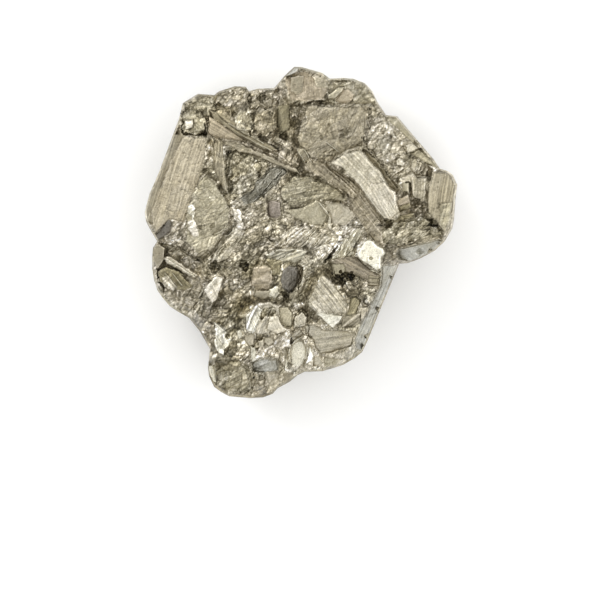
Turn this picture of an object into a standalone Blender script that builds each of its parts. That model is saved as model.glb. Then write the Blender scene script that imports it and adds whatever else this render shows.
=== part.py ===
"""Pyrite specimen: one lump of intergrown crystals, lying on its back with its best side up.

The frame is in metres with +Z up. The origin is the middle of the lump's box, on the surface that it
lies on. X runs along the width and Y along the length of the side that is looked at.
"""

import math
import random

import bmesh
import bpy
from mathutils import Euler, Matrix, Vector

MM = 0.001

# Driving dimensions
WIDTH = 50.0 * MM
LENGTH = 53.0 * MM
DEPTH = 29.0 * MM
SWELL = 4.6
SWELL_REACH = 27.0
GIRTH_HEIGHT = 12.0 * MM
SHOULDER_HEIGHT = 19.0 * MM
REST_SHARE = 0.52
ROOT_DEPTH = 9.0 * MM
FLARE = 1.10
RIDGE_STEP = 0.62 * MM
RIDGE_HEIGHT = 0.28 * MM
BLUNT = 0.6
BACK_BLOCKS = 19
BACK_LIMIT = 0.985
WELD = 1e-6

PYRITE = (0.46, 0.43, 0.35, 1.0)
PYRITE_ROUGHNESS = 0.38
PYRITE_METALLIC = 1.0

# The lump seen from above, clockwise from its top left corner, in millimetres
OUTLINE = (
    (-18.9, 20.7), (-16.5, 22.2), (-13.9, 22.0), (-13.1, 22.6), (-10.6, 23.4), (-8.8, 23.3),
    (-8.3, 22.6), (-6.9, 23.0), (-4.3, 23.1), (-2.7, 25.0), (-1.1, 26.5), (0.0, 26.5),
    (1.8, 26.0), (3.4, 25.5), (4.6, 24.6), (6.7, 24.7), (8.3, 24.6), (10.2, 23.9),
    (11.4, 22.6), (12.2, 20.9), (13.6, 18.8), (15.4, 18.6), (16.8, 16.9), (19.0, 14.3),
    (21.3, 11.6), (22.2, 10.2), (23.5, 9.8), (24.3, 9.2), (25.0, 7.6), (24.7, 5.0),
    (24.5, 2.2), (24.2, 0.6), (23.0, -1.4), (21.3, -3.0), (19.0, -4.2), (17.1, -4.9),
    (15.7, -5.0), (13.2, -11.1), (10.7, -17.2), (9.8, -19.1), (8.6, -20.1), (6.7, -21.2),
    (5.1, -21.7), (3.4, -22.2), (0.6, -22.3), (-0.5, -22.8), (-1.8, -23.9), (-3.7, -24.9),
    (-4.5, -25.8), (-6.1, -26.4), (-8.2, -26.5), (-11.5, -26.2), (-12.8, -25.5), (-13.9, -24.7),
    (-14.7, -23.0), (-14.9, -21.5), (-14.7, -19.8), (-14.6, -18.6), (-15.4, -17.2), (-16.2, -15.8),
    (-17.9, -13.7), (-19.8, -12.6), (-21.0, -11.8), (-22.1, -10.5), (-23.0, -9.2), (-23.5, -7.6),
    (-23.8, -5.8), (-23.8, -4.1), (-23.7, -2.5), (-23.0, -1.4), (-24.2, 0.6), (-24.8, 1.8),
    (-25.0, 3.3), (-24.2, 6.3), (-22.7, 9.7), (-21.1, 14.0), (-19.5, 18.3),
)  # fmt: skip
MIDDLE = (-1.5, 1.0)

# Each face: name, height, rise towards +X, rise towards +Y, bevel, corners in millimetres
FACES = (
    ("left_block", 20.6, 0.16, 0.02, 0.5,
     ((-19.6, 15.4), (-17.0, 15.1), (-15.2, 15.0), (-15.3, 12.0), (-16.3, 8.5), (-17.6, 5.0), (-18.6, 1.6),
      (-21.0, 2.1), (-23.2, 0.1), (-24.4, 1.9), (-24.4, 3.4), (-23.5, 6.6), (-22.0, 10.0), (-20.6, 13.4))),
    ("corner_cap", 18.8, 0.06, -0.20, 0.5,
     ((-19.2, 17.9), (-18.4, 20.4), (-16.4, 21.7), (-14.0, 21.6), (-13.2, 19.6), (-15.0, 17.6), (-15.2, 15.4),
      (-18.9, 15.3))),
    ("round_corner_crystal", 21.6, 0.10, 0.12, 0.4,
     ((-18.9, 18.5), (-17.6, 19.3), (-15.9, 19.1), (-15.1, 17.6), (-15.4, 16.1), (-17.0, 15.4), (-18.5, 15.9),
      (-19.1, 17.2))),
    ("smooth_plate", 20.4, -0.05, 0.18, 0.0,
     ((-14.8, 18.9), (-12.8, 18.2), (-10.2, 16.2), (-9.6, 15.0), (-12.2, 14.7), (-14.7, 15.0), (-15.1, 17.0))),
    ("top_lump_left", 19.4, 0.05, -0.34, 0.5,
     ((-13.3, 21.9), (-12.0, 22.9), (-10.4, 23.1), (-9.0, 23.0), (-8.5, 22.2), (-9.0, 21.0), (-10.5, 20.2),
      (-12.5, 19.9), (-13.6, 20.6))),
    ("top_lump_middle", 18.9, -0.05, -0.25, 0.5,
     ((-8.0, 22.5), (-6.9, 22.8), (-4.4, 22.9), (-3.6, 21.9), (-3.7, 20.2), (-5.5, 19.7), (-8.0, 19.8),
      (-8.8, 20.7))),
    ("white_lumps", 21.7, 0.15, -0.10, 0.0,
     ((-10.3, 18.3), (-9.6, 19.3), (-8.3, 19.2), (-7.6, 18.0), (-7.7, 16.4), (-8.8, 15.9), (-10.1, 16.4))),
    ("ball", 22.6, 0.05, 0.05, 0.7,
     ((-7.6, 17.6), (-6.9, 18.8), (-5.6, 19.2), (-4.4, 18.7), (-3.9, 17.4), (-4.3, 16.0), (-5.5, 15.3),
      (-6.9, 15.6))),
    ("top_crystal", 21.0, 0.10, -0.42, 0.5,
     ((-2.5, 24.5), (-1.1, 26.1), (0.1, 26.1), (1.8, 25.6), (3.3, 25.0), (4.2, 24.1), (4.0, 22.4), (3.6, 21.2),
      (0.4, 20.8), (-1.5, 21.0), (-2.0, 22.6))),
    ("top_crystal_right", 20.8, -0.12, -0.28, 0.25,
     ((4.6, 24.3), (6.7, 24.4), (8.3, 24.3), (10.1, 23.6), (11.1, 22.4), (11.9, 20.8), (11.7, 20.3),
      (5.0, 20.4), (4.2, 21.3))),
    ("top_strip", 22.4, 0.10, 0.25, 0.0,
     ((4.2, 21.2), (4.3, 21.9), (6.0, 23.1), (6.8, 23.1), (6.5, 22.4), (5.3, 21.2))),
    ("grey_plate", 22.2, 0.02, 0.10, 0.0,
     ((0.9, 18.0), (0.8, 19.5), (1.6, 19.9), (4.0, 19.8), (8.0, 19.9), (10.3, 19.8), (10.5, 18.4), (10.1, 15.5),
      (9.8, 13.7), (7.3, 13.1), (4.8, 11.4), (1.6, 11.7), (-0.5, 14.6), (0.1, 16.9))),
    ("upper_right_block", 21.0, -0.20, -0.05, 0.0,
     ((10.9, 19.6), (12.1, 19.6), (13.5, 18.3), (15.1, 18.2), (16.5, 16.6), (18.6, 14.0), (18.4, 12.4),
      (16.8, 13.0), (17.8, 11.2), (16.8, 9.0), (14.6, 8.6), (12.6, 11.6), (10.3, 13.4), (10.5, 15.6),
      (11.2, 17.4))),
    ("upper_right_shoulder", 18.6, -0.45, -0.35, 0.0,
     ((16.9, 13.4), (17.6, 14.3), (19.1, 13.7), (21.0, 11.3), (21.8, 10.3), (20.2, 10.8), (18.6, 11.9))),
    ("tongue", 25.2, -0.08, 0.06, 0.4,
     ((4.6, 10.9), (5.6, 11.6), (7.4, 12.6), (9.4, 13.0), (9.9, 12.5), (11.5, 10.6), (12.6, 9.7), (13.6, 7.9),
      (14.1, 7.0), (14.9, 6.4), (15.1, 5.2), (15.2, 4.0), (15.4, 2.9), (14.6, 2.2), (13.3, 2.1), (12.6, 2.9),
      (11.0, 4.9), (10.1, 6.1), (9.5, 7.3), (8.5, 8.4), (7.5, 9.0), (6.6, 10.3))),
    ("striped_cube", 23.0, -0.18, 0.30, 0.0, ((15.2, 4.9), (17.0, 6.0), (17.6, 4.4), (15.7, 3.0))),
    ("step_facet", 22.4, 0.12, 0.05, 0.0, ((16.2, 8.5), (18.0, 8.4), (17.9, 6.7), (17.1, 6.0), (16.2, 6.5))),
    ("ridged_facet", 22.2, -0.10, 0.20, 0.0,
     ((18.2, 8.5), (19.9, 8.6), (20.2, 7.5), (19.6, 5.2), (18.0, 5.6), (17.7, 7.0))),
    ("right_cube", 22.0, -0.18, 0.04, 0.5,
     ((20.9, 9.7), (22.5, 9.6), (23.6, 9.2), (24.4, 7.6), (24.3, 5.0), (23.7, 1.4), (22.9, -0.1), (21.4, 1.9),
      (20.3, 3.1), (20.2, 6.9), (20.7, 8.6))),
    ("lower_right_face", 19.0, -0.04, 0.28, 0.0,
     ((13.4, 2.0), (15.8, 2.7), (18.2, 3.0), (19.4, 2.6), (21.0, 2.3), (22.8, -0.3), (20.5, -0.9), (17.0, -1.9),
      (15.2, -2.2), (13.2, -1.9), (12.9, -0.2))),
    ("smooth_bevel", 15.4, 0.0, 0.95, 0.0,
     ((15.6, -2.3), (18.6, -1.9), (22.0, -1.1), (22.7, -1.4), (21.1, -2.8), (18.9, -4.0), (17.1, -4.6),
      (15.9, -4.3), (15.3, -3.6))),
    ("slanting_band", 20.8, 0.42, 0.34, 0.0,
     ((7.8, 9.2), (9.2, 7.4), (10.2, 5.8), (12.8, 2.6), (13.2, 0.2), (13.4, -2.0), (12.7, -2.0), (11.0, -0.9),
      (9.2, 1.8), (8.0, 3.4), (7.2, 6.0))),
    ("pale_face", 22.3, -0.14, -0.05, 0.0,
     ((-15.2, 9.2), (-13.4, 7.3), (-12.6, 5.0), (-13.2, 2.0), (-13.9, 0.6), (-14.4, -1.6), (-16.8, -2.2),
      (-18.3, -0.4), (-18.2, 2.6), (-17.2, 5.6), (-16.0, 8.6))),
    ("pale_edge", 23.0, 0.25, -0.10, 0.0,
     ((-17.9, 4.0), (-17.0, 4.4), (-16.6, 1.4), (-16.4, -0.4), (-17.4, -0.6), (-18.1, 0.4), (-17.9, 1.8))),
    ("upright_strip", 21.2, 0.30, 0.0, 0.0,
     ((-14.8, 13.8), (-12.4, 13.5), (-12.1, 9.0), (-11.9, 6.2), (-12.8, 7.6), (-13.8, 8.6), (-15.0, 10.2))),
    ("grainy_patch", 20.0, 0.05, -0.08, 0.0,
     ((-11.9, 12.8), (-9.5, 13.4), (-6.4, 12.3), (-6.1, 9.0), (-8.5, 6.5), (-10.5, 5.2), (-11.6, 6.0),
      (-12.0, 9.0))),
    ("groove_wall", 20.6, -0.30, -0.30, 0.0,
     ((-6.0, 9.4), (-5.0, 10.4), (-2.6, 9.6), (-2.9, 8.6), (-5.0, 6.8), (-7.6, 5.0), (-8.4, 5.8), (-7.2, 7.6))),
    ("mauve_facet", 20.4, 0.35, 0.10, 0.0,
     ((-5.3, 5.0), (-3.3, 4.9), (-3.2, 2.6), (-3.9, 2.1), (-5.4, 2.6))),
    ("middle_facet", 21.0, -0.04, 0.16, 0.0,
     ((-0.3, 3.8), (2.6, 3.9), (3.4, 4.4), (4.6, 2.5), (3.2, 1.0), (0.6, 1.6))),
    ("middle_facet_right", 21.2, 0.04, 0.18, 0.0,
     ((4.0, 4.8), (6.2, 4.6), (8.3, 3.2), (8.5, 2.4), (7.3, 1.2), (5.0, 1.0), (4.7, 2.5))),
    ("golden_arc", 21.4, 0.02, 0.30, 0.0,
     ((-5.6, -3.6), (-3.6, -2.7), (-1.0, -2.6), (1.0, -2.9), (0.6, -4.0), (-1.0, -4.9), (-3.2, -4.8),
      (-5.2, -4.6))),
    ("white_facet", 22.6, -0.12, 0.10, 0.0,
     ((10.6, -1.2), (11.1, -1.2), (12.2, -2.2), (13.1, -2.6), (13.4, -3.4), (12.8, -4.1), (12.6, -5.8),
      (11.8, -5.8), (10.4, -5.0), (9.3, -4.2), (9.1, -3.6), (9.4, -2.8), (9.9, -1.8))),
    ("brown_facet", 21.0, -0.20, -0.10, 0.0,
     ((7.6, -4.5), (9.2, -4.4), (10.6, -5.4), (10.6, -6.9), (8.8, -7.0), (7.9, -6.2))),
    ("striped_step", 20.2, -0.10, 0.25, 0.0, ((10.7, -6.8), (12.7, -7.0), (12.6, -8.6), (10.6, -8.6))),
    ("olive_facet", 20.8, 0.10, 0.20, 0.0, ((5.0, -5.0), (6.8, -5.0), (7.2, -6.2), (6.0, -7.0), (5.2, -7.2))),
    ("edge_crystal", 20.6, -0.20, 0.10, 0.0,
     ((10.0, -9.6), (10.8, -8.8), (11.9, -9.0), (12.3, -9.9), (11.6, -11.0), (10.4, -11.2))),
    ("slate_facet", 20.2, -0.45, 0.20, 0.0,
     ((-2.9, -6.2), (-0.8, -5.7), (0.1, -5.6), (-0.1, -7.8), (-1.2, -9.5), (-1.8, -9.7), (-2.6, -9.2),
      (-3.1, -8.2))),
    ("pink_facet", 21.2, 0.12, 0.12, 0.0,
     ((-7.7, -5.6), (-6.0, -5.0), (-5.2, -6.6), (-5.6, -8.6), (-7.4, -8.8), (-8.3, -7.4))),
    ("grey_oval", 21.4, 0.0, 0.30, 0.0,
     ((-7.2, -9.4), (-5.0, -9.3), (-4.9, -10.2), (-6.6, -10.9), (-7.7, -10.4))),
    ("lower_left_lump", 17.0, 0.40, 0.06, 0.6,
     ((-23.2, -2.8), (-22.4, -1.8), (-20.4, -1.8), (-15.9, -4.6), (-15.6, -8.8), (-17.0, -12.2), (-19.5, -12.0),
      (-21.6, -10.2), (-22.9, -7.4), (-23.3, -4.4))),
    ("bright_ledge", 20.2, 0.30, 0.20, 0.0,
     ((-21.6, -4.3), (-20.9, -3.9), (-18.6, -5.4), (-16.6, -7.0), (-16.9, -7.4), (-18.8, -6.4), (-21.0, -5.0))),
    ("white_tooth", 22.0, -0.10, -0.12, 0.0,
     ((-13.6, -6.9), (-12.5, -7.3), (-12.8, -9.0), (-13.3, -10.4), (-14.2, -11.6), (-14.4, -10.8),
      (-15.4, -9.2), (-14.9, -8.4))),
    ("bright_group", 22.6, -0.08, -0.10, 0.0,
     ((-8.8, -13.2), (-7.0, -11.3), (-5.0, -11.0), (-3.3, -11.7), (-3.6, -13.3), (-3.3, -14.6), (-2.3, -15.4),
      (-2.9, -16.4), (-5.6, -16.2), (-8.5, -15.8), (-8.9, -14.6))),
    ("group_side", 21.4, -0.40, -0.05, 0.0,
     ((-3.5, -12.0), (-2.0, -11.9), (-1.3, -12.9), (-1.5, -15.1), (-2.4, -15.2), (-3.3, -14.0))),
    ("bright_tooth", 20.8, -0.10, 0.15, 0.0,
     ((-1.2, -13.6), (0.2, -12.7), (1.0, -13.4), (0.6, -15.0), (-1.2, -15.2))),
    ("cream_crystal", 22.6, -0.10, 0.08, 0.0,
     ((2.1, -9.5), (5.3, -9.0), (6.0, -10.4), (7.4, -11.8), (7.0, -12.9), (2.4, -12.9), (1.1, -11.5),
      (1.4, -10.3))),
    ("white_triangle", 21.6, 0.0, 0.32, 0.0,
     ((2.4, -13.0), (3.4, -12.8), (6.5, -13.4), (6.1, -14.2), (5.1, -15.2), (3.7, -14.0))),
    ("olive_wedge", 20.6, -0.35, -0.10, 0.0,
     ((7.5, -11.4), (8.2, -10.0), (9.2, -10.8), (9.1, -12.8), (8.0, -13.0), (7.3, -12.6))),
    ("big_smooth_facet", 19.0, -0.06, 0.42, 0.0,
     ((1.2, -15.4), (3.2, -15.1), (4.8, -15.8), (7.0, -16.2), (8.2, -16.4), (7.8, -17.5), (6.7, -18.5),
      (5.6, -18.8), (4.3, -19.6), (3.0, -19.6), (2.2, -19.3), (2.0, -18.1), (0.9, -17.2))),
    ("white_strip", 18.4, -0.30, 0.45, 0.0,
     ((1.2, -18.0), (2.0, -18.3), (2.1, -19.4), (1.3, -20.6), (0.8, -20.4))),
    ("oval_facet", 18.8, -0.05, 0.50, 0.0,
     ((-1.5, -19.2), (-1.2, -18.0), (-0.4, -17.2), (0.5, -17.3), (1.0, -18.2), (0.9, -19.6), (0.3, -21.0),
      (-0.7, -21.5), (-1.4, -20.8))),
    ("lower_edge_facet", 16.4, -0.05, 0.85, 0.0, ((1.8, -19.8), (3.3, -19.7), (3.4, -21.2), (1.9, -21.4))),
    ("lower_edge_facet_right", 16.2, -0.15, 0.85, 0.0,
     ((3.7, -19.9), (5.2, -19.9), (6.4, -20.4), (5.6, -21.1), (3.7, -21.4))),
    ("broken_white", 21.0, 0.20, -0.05, 0.0,
     ((-13.9, -14.2), (-12.6, -14.6), (-11.7, -16.2), (-10.9, -17.2), (-12.2, -18.8), (-12.2, -19.8),
      (-13.2, -19.2), (-13.9, -17.8), (-13.6, -16.2))),
    ("small_grey_facet", 20.8, 0.10, 0.25, 0.0,
     ((-5.8, -16.8), (-4.6, -16.7), (-4.4, -17.6), (-5.2, -18.2), (-5.9, -17.5))),
    ("foot", 18.2, 0.06, 0.42, 0.5,
     ((-13.1, -20.8), (-10.5, -20.3), (-8.6, -21.2), (-7.6, -23.0), (-7.8, -25.7), (-11.0, -25.8),
      (-12.7, -25.0), (-13.5, -24.0), (-13.4, -22.0))),
    ("foot_crystal", 18.2, -0.12, 0.42, 0.0,
     ((-5.9, -22.6), (-4.8, -21.9), (-3.4, -22.3), (-3.1, -23.5), (-3.6, -24.5), (-5.2, -25.2), (-6.1, -24.2))),
)  # fmt: skip

# Each pit: middle, mouth radius, how deep below its mouth, height of the mouth, in millimetres
PITS = (
    (-11.1, 19.2, 1.0, 3.4, 21.6), (-2.6, 15.2, 0.9, 3.2, 20.6), (-0.9, 17.5, 1.0, 3.4, 21.6),
    (6.9, 15.9, 0.85, 1.0, 22.9), (-6.4, 21.1, 0.8, 2.0, 20.0), (-2.4, -10.2, 1.0, 4.0, 21.0),
    (-9.0, -5.3, 1.0, 3.6, 21.4), (6.3, -7.8, 1.3, 4.0, 21.4), (7.6, -7.0, 0.9, 3.4, 21.4),
    (4.7, -3.9, 0.55, 3.4, 21.4), (5.3, -2.9, 0.6, 3.0, 21.4), (11.1, -4.2, 0.35, 1.2, 23.0),
    (-11.7, -16.6, 0.6, 2.0, 21.2), (-13.3, -5.6, 1.0, 2.6, 21.4), (-1.7, -16.0, 0.6, 2.4, 20.6),
    (13.9, 1.5, 0.9, 3.0, 20.6), (-17.8, -8.8, 1.0, 2.6, 18.6), (12.8, 10.6, 0.6, 2.2, 21.6),
)  # fmt: skip


def clear_scene():
    for obj in list(bpy.data.objects):
        bpy.data.objects.remove(obj, do_unlink=True)


def new_collection(name):
    collection = bpy.data.collections.new(name)
    bpy.context.scene.collection.children.link(collection)
    return collection


def add_object(name, mesh, collection):
    obj = bpy.data.objects.new(name, mesh)
    collection.objects.link(obj)
    return obj


def hide_helper(obj):
    obj.hide_render = True
    obj.display_type = "WIRE"


def pyrite_material():
    material = bpy.data.materials.new("pyrite")
    material.use_nodes = True
    shader = material.node_tree.nodes["Principled BSDF"]
    shader.inputs["Base Color"].default_value = PYRITE
    shader.inputs["Roughness"].default_value = PYRITE_ROUGHNESS
    shader.inputs["Metallic"].default_value = PYRITE_METALLIC
    return material


def swell(x, y):
    """How far the middle of the upper side stands above its rim, in millimetres."""
    far = ((x - MIDDLE[0]) ** 2 + (y - MIDDLE[1]) ** 2) / SWELL_REACH**2
    return SWELL * max(0.0, 1.0 - far)


def swell_slope(x, y):
    """How fast the swelling rises towards +X and towards +Y."""
    fall = -2.0 * SWELL / SWELL_REACH**2
    return fall * (x - MIDDLE[0]), fall * (y - MIDDLE[1])


def ring(share, height, waver, seed):
    """The outline drawn in towards the middle, each corner a little nearer or farther."""
    draw = random.Random(seed)
    points = []
    for x, y in OUTLINE:
        near = share * (1.0 + draw.uniform(-waver, waver))
        lift = draw.uniform(-waver, waver) * 30.0
        points.append(
            Vector(
                (
                    MM * (MIDDLE[0] + near * (x - MIDDLE[0])),
                    MM * (MIDDLE[1] + near * (y - MIDDLE[1])),
                    height + MM * lift,
                )
            )
        )
    return points


def upper_ring(share, waver, seed):
    """A ring of the upper side, raised by the swelling."""
    points = ring(share, SHOULDER_HEIGHT, waver, seed)
    for point in points:
        point.z += MM * swell(point.x / MM, point.y / MM)
    return points


def body_mesh():
    """A loft from the flat spot out to the girth and in again over the swollen upper side."""
    rings = (
        ring(REST_SHARE, 0.0, 0.0, 1),
        ring(0.79, 0.11 * DEPTH, 0.035, 2),
        ring(0.92, 0.24 * DEPTH, 0.035, 3),
        ring(0.975, 0.34 * DEPTH, 0.012, 4),
        ring(1.0, GIRTH_HEIGHT, 0.0, 5),
        ring(0.985, GIRTH_HEIGHT + 0.10 * DEPTH, 0.008, 6),
        ring(0.94, GIRTH_HEIGHT + 0.19 * DEPTH, 0.012, 7),
        upper_ring(0.85, 0.015, 8),
        upper_ring(0.62, 0.02, 9),
        upper_ring(0.36, 0.02, 10),
    )
    bm = bmesh.new()
    rows = [[bm.verts.new(point) for point in points] for points in rings]
    count = len(OUTLINE)
    for lower, upper in zip(rows, rows[1:]):
        for i in range(count):
            j = (i + 1) % count
            bm.faces.new((lower[i], lower[j], upper[j], upper[i]))
    bm.faces.new(rows[0])
    crown = bm.verts.new((MM * MIDDLE[0], MM * MIDDLE[1], SHOULDER_HEIGHT + MM * SWELL))
    for i in range(count):
        bm.faces.new((rows[-1][i], rows[-1][(i + 1) % count], crown))
    bmesh.ops.recalc_face_normals(bm, faces=bm.faces)
    mesh = bpy.data.meshes.new("body")
    bm.to_mesh(mesh)
    bm.free()
    return mesh


def prism_mesh(name, corners, thickness):
    """A flat outline extruded to both sides of its own plane, as one closed mesh."""
    curve = bpy.data.curves.new(name, "CURVE")
    curve.dimensions = "2D"
    curve.fill_mode = "BOTH"
    curve.extrude = 0.5 * thickness
    spline = curve.splines.new("POLY")
    spline.points.add(len(corners) - 1)
    for point, (x, y) in zip(spline.points, corners):
        point.co = (x, y, 0.0, 1.0)
    spline.use_cyclic_u = True
    guide = bpy.data.objects.new(name, curve)
    bpy.context.scene.collection.objects.link(guide)
    graph = bpy.context.evaluated_depsgraph_get()
    mesh = bpy.data.meshes.new_from_object(guide.evaluated_get(graph))
    bpy.data.objects.remove(guide)
    bpy.data.curves.remove(curve)
    bm = bmesh.new()
    bm.from_mesh(mesh)
    bmesh.ops.remove_doubles(bm, verts=bm.verts, dist=WELD)
    bmesh.ops.dissolve_limit(bm, angle_limit=0.01, verts=bm.verts, edges=bm.edges)
    bmesh.ops.recalc_face_normals(bm, faces=bm.faces)
    bm.to_mesh(mesh)
    bm.free()
    return mesh


def crystal(name, height, rise_x, rise_y, bevel, corners, collection):
    """A crystal whose top is a sloping flat face and whose walls flare down into the lump."""
    middle = (sum(x for x, _ in corners) / len(corners), sum(y for _, y in corners) / len(corners))
    local = [(MM * (x - middle[0]), MM * (y - middle[1])) for x, y in corners]
    mesh = prism_mesh(name, local, ROOT_DEPTH)
    bm = bmesh.new()
    bm.from_mesh(mesh)
    for vert in bm.verts:
        if vert.co.z < 0.0:
            vert.co.x *= FLARE
            vert.co.y *= FLARE
    if bevel:
        rim = [edge for edge in bm.edges if min(vert.co.z for vert in edge.verts) > 0.0]
        bmesh.ops.bevel(bm, geom=rim, offset=MM * bevel, segments=1, affect="EDGES")
    swell_x, swell_y = swell_slope(*middle)
    for vert in bm.verts:
        if vert.co.z > 0.0:
            vert.co.z += (rise_x + swell_x) * vert.co.x + (rise_y + swell_y) * vert.co.y
    bm.to_mesh(mesh)
    bm.free()
    obj = add_object(name, mesh, collection)
    top = MM * (height + swell(*middle))
    obj.location = (MM * middle[0], MM * middle[1], top - 0.5 * ROOT_DEPTH)
    hide_helper(obj)
    return obj


def ridge(name, start, end, width, height, collection):
    """A long low bar with a triangular section, half sunk in the face that it lies on."""
    start = Vector(start) * MM
    end = Vector(end) * MM
    along = end - start
    mesh = bpy.data.meshes.new(name)
    bm = bmesh.new()
    bmesh.ops.create_cone(
        bm, cap_ends=True, segments=4, radius1=0.5, radius2=0.5, depth=along.length
    )
    bm.transform(Matrix.Diagonal((width, 2.0 * height, 1.0, 1.0)))
    bm.transform(along.to_track_quat("Z", "Y").to_matrix().to_4x4())
    bm.to_mesh(mesh)
    bm.free()
    obj = add_object(name, mesh, collection)
    obj.location = 0.5 * (start + end)
    hide_helper(obj)


def ridge_row(name, first, last, reach, count, collection):
    """Parallel ridges from the line at first to the line at last, each as long as reach."""
    for k in range(count):
        t = (k + 0.5) / count
        foot = [a + t * (b - a) for a, b in zip(first, last)]
        tip = [c + r for c, r in zip(foot, reach)]
        foot[2] += swell(*foot[:2])
        tip[2] += swell(*tip[:2])
        wide = RIDGE_STEP * (0.8 + 0.4 * (k % 3) / 2.0)
        ridge(f"{name}_{k}", foot, tip, wide, RIDGE_HEIGHT * (1.0 + 0.5 * (k % 2)), collection)


def block(name, centre, size, turn, blunt, collection):
    """A cube or box standing out of the lump by a corner, its edges blunted where asked."""
    mesh = bpy.data.meshes.new(name)
    bm = bmesh.new()
    bmesh.ops.create_cube(bm, size=1.0)
    bm.transform(Matrix.Diagonal((MM * size[0], MM * size[1], MM * size[2], 1.0)))
    if blunt:
        bmesh.ops.bevel(bm, geom=bm.edges[:], offset=MM * blunt, segments=1, affect="EDGES")
    bm.to_mesh(mesh)
    bm.free()
    obj = add_object(name, mesh, collection)
    obj.location = Vector(centre) * MM
    obj.rotation_euler = turn
    hide_helper(obj)


def share_of_reach(x, y):
    """How far a point is from the middle, as a share of the outline's reach in its direction."""
    x, y = x - MIDDLE[0], y - MIDDLE[1]
    for first, last in zip(OUTLINE, OUTLINE[1:] + OUTLINE[:1]):
        ax, ay = first[0] - MIDDLE[0], first[1] - MIDDLE[1]
        bx, by = last[0] - MIDDLE[0], last[1] - MIDDLE[1]
        share = (x * (by - ay) - y * (bx - ax)) / (ax * by - ay * bx)
        if share > 0.0 and (ax * y - ay * x) * (bx * y - by * x) <= 0.0:
            return share
    return 0.0


def back_blocks(collection):
    """Crystal corners round the flank, each drawn in towards the middle until it is inside the outline."""
    draw = random.Random(31)
    for k in range(BACK_BLOCKS):
        x, y = OUTLINE[int(k * len(OUTLINE) / BACK_BLOCKS)]
        share = draw.uniform(0.76, 0.84)
        size = [draw.uniform(4.5, 8.5) for _ in range(3)]
        height = draw.uniform(4.0, 9.5)
        turn = [draw.uniform(0.0, math.pi) for _ in range(3)]
        turned = Euler(turn).to_matrix()
        corners = [
            turned @ Vector((a * size[0], b * size[1], c * size[2])) * 0.5
            for a in (-1, 1) for b in (-1, 1) for c in (-1, 1)
        ]  # fmt: skip
        for _ in range(40):
            centre = (MIDDLE[0] + share * (x - MIDDLE[0]), MIDDLE[1] + share * (y - MIDDLE[1]), height)
            if max(share_of_reach(centre[0] + c.x, centre[1] + c.y) for c in corners) < BACK_LIMIT:
                break
            share -= 0.01
        block(f"back_block_{k}", centre, size, turn, BLUNT, collection)


def small_crystals(collection):
    """Little cubes grown over the grainy stretches between the large faces."""
    draw = random.Random(21)
    patches = (
        (-1.0, 7.2, 5.2, 2.6, 19.6, 9), (-8.8, 9.0, 2.6, 3.2, 20.0, 5), (-9.0, -11.6, 2.4, 1.8, 19.8, 6),
        (0.6, -7.6, 1.6, 2.2, 19.6, 5), (-17.6, -3.4, 2.6, 1.8, 18.6, 5), (-6.6, -19.2, 2.6, 2.2, 19.0, 6),
        (14.0, 14.6, 2.8, 3.2, 20.4, 6), (17.4, 0.4, 3.2, 1.8, 19.2, 6), (-11.2, -12.6, 1.6, 1.6, 19.8, 4),
        (9.2, 1.4, 1.4, 1.6, 20.2, 3), (7.8, -8.6, 1.6, 1.2, 19.4, 4), (-16.4, 20.4, 1.8, 1.0, 18.4, 3),
    )  # fmt: skip
    for p, (x, y, half_x, half_y, height, count) in enumerate(patches):
        for k in range(count):
            size = draw.uniform(1.2, 2.4)
            place = (x + draw.uniform(-half_x, half_x), y + draw.uniform(-half_y, half_y))
            lift = height + swell(*place) - 0.4 * size + draw.uniform(-0.3, 0.3)
            centre = (*place, lift)
            turn = [draw.uniform(0.0, math.pi) for _ in range(3)]
            block(f"small_{p}_{k}", centre, (size, size, size), turn, 0.0, collection)


def pit(index, x, y, radius, deep, mouth, collection):
    """A hollow with flat walls, narrower at its floor."""
    mesh = bpy.data.meshes.new(f"pit_{index}")
    bm = bmesh.new()
    above = 2.0 * MM
    floor = 0.45 * MM * radius
    lip = MM * radius * (1.0 + 0.5 * above / (MM * deep))
    depth = MM * deep + above
    bmesh.ops.create_cone(
        bm, cap_ends=True, segments=5, radius1=floor, radius2=lip, depth=depth
    )
    bm.to_mesh(mesh)
    bm.free()
    obj = add_object(f"pit_{index}", mesh, collection)
    obj.location = (MM * x, MM * y, MM * (mouth + swell(x, y)) + above - 0.5 * depth)
    obj.rotation_euler = (0.0, 0.0, 0.7 * index)
    hide_helper(obj)


def under_floor(collection):
    """Everything below the flat spot is cut away."""
    mesh = bpy.data.meshes.new("under_floor")
    bm = bmesh.new()
    bmesh.ops.create_cube(bm, size=1.0)
    thick = 20.0 * MM
    bm.transform(Matrix.Diagonal((2.0 * WIDTH, 2.0 * LENGTH, thick, 1.0)))
    bm.to_mesh(mesh)
    bm.free()
    obj = add_object("under_floor", mesh, collection)
    obj.location = (0.0, 0.0, -0.5 * thick)
    hide_helper(obj)


def boolean(obj, name, operation, collection):
    modifier = obj.modifiers.new(name, "BOOLEAN")
    modifier.operation = operation
    modifier.operand_type = "COLLECTION"
    modifier.collection = collection
    modifier.solver = "EXACT"


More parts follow.
